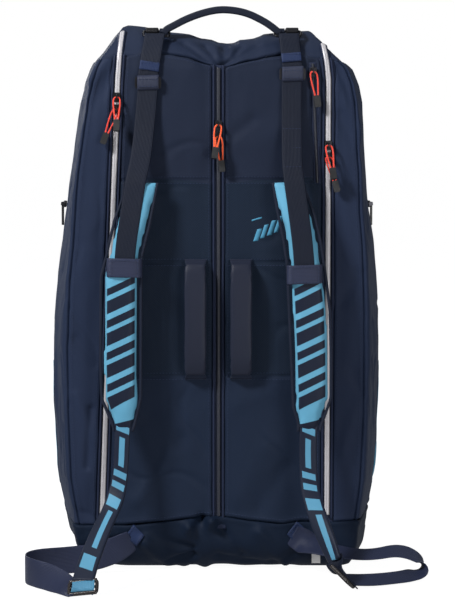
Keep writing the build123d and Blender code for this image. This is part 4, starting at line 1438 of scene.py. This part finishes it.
# name, x and z of the eye, sideways lean, lift from the face in degrees, length, colour
PULL_CORDS = [
    ("centre_upper", 0.002, 0.627, -0.004, 17, 0.0763, "cord_orange"),
    ("centre_lower", 0.002, 0.611, 0.004, 3, 0.0763, "cord_orange"),
    ("left_upper", -0.138017, 0.665, 0.0, 17, 0.0759, "cord_red"),
    ("left_lower", -0.138650, 0.649, -0.014, 3, 0.0809, "cord_red"),
    ("right_upper", 0.154, 0.599, 0.005, 17, 0.0765, "cord_red"),
    ("right_lower", 0.154, 0.583, 0.009, 3, 0.0780, "cord_red"),
    ("pocket", 0.132503, 0.700, 0.005, 3, 0.0765, "cord_red"),
]
for name, x, z, lean, lift, length, colour in PULL_CORDS:
    tip = math.radians(lift)
    route = []
    for u, v in LOOP:
        aside = u - lean * v / 0.035
        route.append((x + aside, EYE_Y + v * math.sin(tip), z + v * math.cos(tip)))
    curve = bpy.data.curves.new(f"cord_{name}", "CURVE")
    curve.dimensions = "3D"
    curve.bevel_depth = CORD / 2
    curve.bevel_resolution = 3
    curve.resolution_u = 10
    spline = curve.splines.new("NURBS")
    spline.points.add(len(route) - 1)
    for point, at in zip(spline.points, route):
        point.co = (*at, 1)
    spline.order_u = 3
    spline.use_endpoint_u = True
    curve.materials.append(M[colour])
    cord = bpy.data.objects.new(f"cord_{name}", curve)
    bpy.context.scene.collection.objects.link(cord)
    finish_piece(cord, f"pull_{name}", "pull_cord", f"pull_cord_{name}")


# ---------------------------------------------------------------- prints and top stitching
for index, (x, low, high, wide) in enumerate(((50, 466, 484, 7), (59.5, 470, 490, 6), (69, 474, 496, 7), (78.5, 478, 502, 6))):
    slant = (high - low) * 0.32
    corners = [(x, low), (x + wide, low + 1), (x + wide + slant, high), (x + slant, high - 1)]
    finish_piece(decal(f"print_bar_{index}", corners, M["print_plain"]), "bag", "front_fabric")
line_print = decal("print_line", [(48, 494), (62, 498), (62.6, 500.4), (48.6, 496.4)], M["print_plain"])
finish_piece(line_print, "bag", "front_fabric")

for side, label in ((-1, "left"), (1, "right")):
    heights = np.linspace(104, 284, 76)
    stripe_rows = []
    for z in heights:
        loop = side_points(side, np.full(400, z), np.linspace(0, 1, 400))
        keep = loop[(loop[:, 1] > -16) & (loop[:, 1] < 60)]
        at = np.linspace(0, len(keep) - 1, 32).astype(int)
        stripe_rows.append(keep[at] + np.array([side * 3.6, 0, 0]))
    points = np.array(stripe_rows)
    if side < 0:
        points = points[:, ::-1]
    side_skin = surface_of(f"skin_side_{label}")
    for row_points in points:
        for point in row_points:
            hit = side_skin.ray_cast(Vector((side * 0.4, point[1] * MM, point[2] * MM)), Vector((-side, 0, 0)), 0.5)
            if hit[0]:
                point[0] = hit[0].x / MM + side * 0.7
    flash = grid_object(f"side_print_{label}", points, M["print_plain"], thick=0.15)
    finish_piece(flash, "bag", "side_fabric")

lines = []
for name in ("left", "centre", "right"):
    for shift in (-13.2, 13.2):
        lines.append(on_front(column(lambda z, n=name, s=shift: zip_x(n, z) + s, 84, 706), 0.15))
for height in CROSS_SEAMS:
    for shift in (-4.4, 4.4):
        lines.append(on_front(row(lambda x, h=height + shift: h, zip_x("left", height) + 12, -12), 0.15))
        lines.append(on_front(row(lambda x, h=height + shift: h, 16, 140), 0.15))
for side in (-1, 1):
    lines.append(on_front(column(lambda z, s=side: front_seam_x(s, z) - s * 5.5, 84, 706), 0.15))
lines.append(on_front(row(lambda x: lerp_table(BOTTOM_SEAM, x) + 5.5, -140, 148), 0.15))
lines.append(on_front(row(lambda x: lerp_table(TOP_SEAM, x) - 5.5, -124, 128), 0.15))
finish_piece(stitches("skin_stitches", lines, M["thread"], radius=0.32), "bag", "front_fabric")


# ---------------------------------------------------------------- finishes of the CAD pieces that stay
KEPT = {
    "rings": "ring", "care_tag": "tag", "dividers": "lining",
    "bar_buckle_left": "slider", "bar_buckle_right": "slider",
    "slider_side_left": "slider", "slider_side_right": "slider",
    "pull_side_left": "pull", "pull_side_right": "pull",
}
for name, *_ in PULL_CORDS:
    KEPT[f"slider_{name}"] = "slider"
    KEPT[f"pull_end_{name}"] = "pull"
for node, look in KEPT.items():
    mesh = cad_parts[node].data
    mesh.materials.clear()
    mesh.materials.append(M[look])
# hidden CAD pieces take the front fabric's finish
for node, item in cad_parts.items():
    if node not in KEPT:
        item.data.materials.clear()
        item.data.materials.append(M["front"])


# ---------------------------------------------------------------- room, light and camera
def seen_or_lit(nodes, links, lit, seen, socket):
    """A strength that differs between what the camera sees and what lights the bag."""
    rays = nodes.new("ShaderNodeLightPath")
    strength = nodes.new("ShaderNodeMapRange")
    strength.inputs["To Min"].default_value = lit
    strength.inputs["To Max"].default_value = seen
    links.new(rays.outputs["Is Camera Ray"], strength.inputs["Value"])
    links.new(strength.outputs[0], socket)


floor_finish = Finish("floor_paper", 0.9, Specular_IOR_Level=0.1)
grain = floor_finish.noise("Object", 3, 2)
floor_finish.colour(floor_finish.shade(linear(105, 105, 108), floor_finish.math("MULTIPLY_ADD", grain, 0.02, 0.98)))
floor_finish.shader.inputs["Emission Color"].default_value = (1, 1, 1, 1)
floor_tree = floor_finish.material.node_tree
seen_or_lit(floor_tree.nodes, floor_tree.links, 0.34, 0.97, floor_finish.shader.inputs["Emission Strength"])
floor_mesh = bpy.data.meshes.new("floor")
floor_mesh.from_pydata([(-30, -6, 0), (30, -6, 0), (30, 60, 0), (-30, 60, 0)], [], [(0, 1, 2, 3)])
floor_mesh.materials.append(floor_finish.material)
floor = bpy.data.objects.new("floor", floor_mesh)
bpy.context.scene.collection.objects.link(floor)
floor.location.z = -0.0004

world = bpy.data.worlds.new("studio")
world.use_nodes = True
world.node_tree.nodes["Background"].inputs["Color"].default_value = (1, 1, 1, 1)
seen_or_lit(
    world.node_tree.nodes, world.node_tree.links, 0.16, 1.0,
    world.node_tree.nodes["Background"].inputs["Strength"],
)
bpy.context.scene.world = world


def lamp(name, place, target, size, power):
    light = bpy.data.lights.new(name, "AREA")
    light.shape = "RECTANGLE"
    light.size, light.size_y = size
    light.energy = power
    item = bpy.data.objects.new(name, light)
    bpy.context.scene.collection.objects.link(item)
    item.location = place
    item.rotation_euler = (Vector(target) - Vector(place)).to_track_quat("-Z", "Y").to_euler()


lamp("key", (-1.6, -1.5, 2.1), (0, 0, 0.40), (0.5, 0.5), 84)
lamp("fill", (1.3, -2.5, 0.5), (0, 0, 0.3), (1.0, 1.0), 24)
lamp("top", (0, 0.3, 2.6), (0, 0, 0.4), (1.6, 1.0), 10)
lamp("behind", (-1.0, 2.8, 1.3), (0, 0, 0.4), (1.2, 1.2), 20)

DISTANCE = 3.0
ELEVATION = math.radians(4.5)
AIM = Vector((0, 0, 0.380))
camera_data = bpy.data.cameras.new("camera")
camera_data.lens = 121.5
camera_data.sensor_width = 36
camera_data.shift_x = 10.5 / 607
camera_data.shift_y = -8.8 / 607
camera = bpy.data.objects.new("camera", camera_data)
bpy.context.scene.collection.objects.link(camera)
camera.location = AIM + Vector((0, -math.cos(ELEVATION), math.sin(ELEVATION))) * DISTANCE
camera.rotation_euler = (AIM - camera.location).to_track_quat("-Z", "Y").to_euler()
bpy.context.scene.camera = camera
bpy.context.scene.view_settings.view_transform = "Standard"
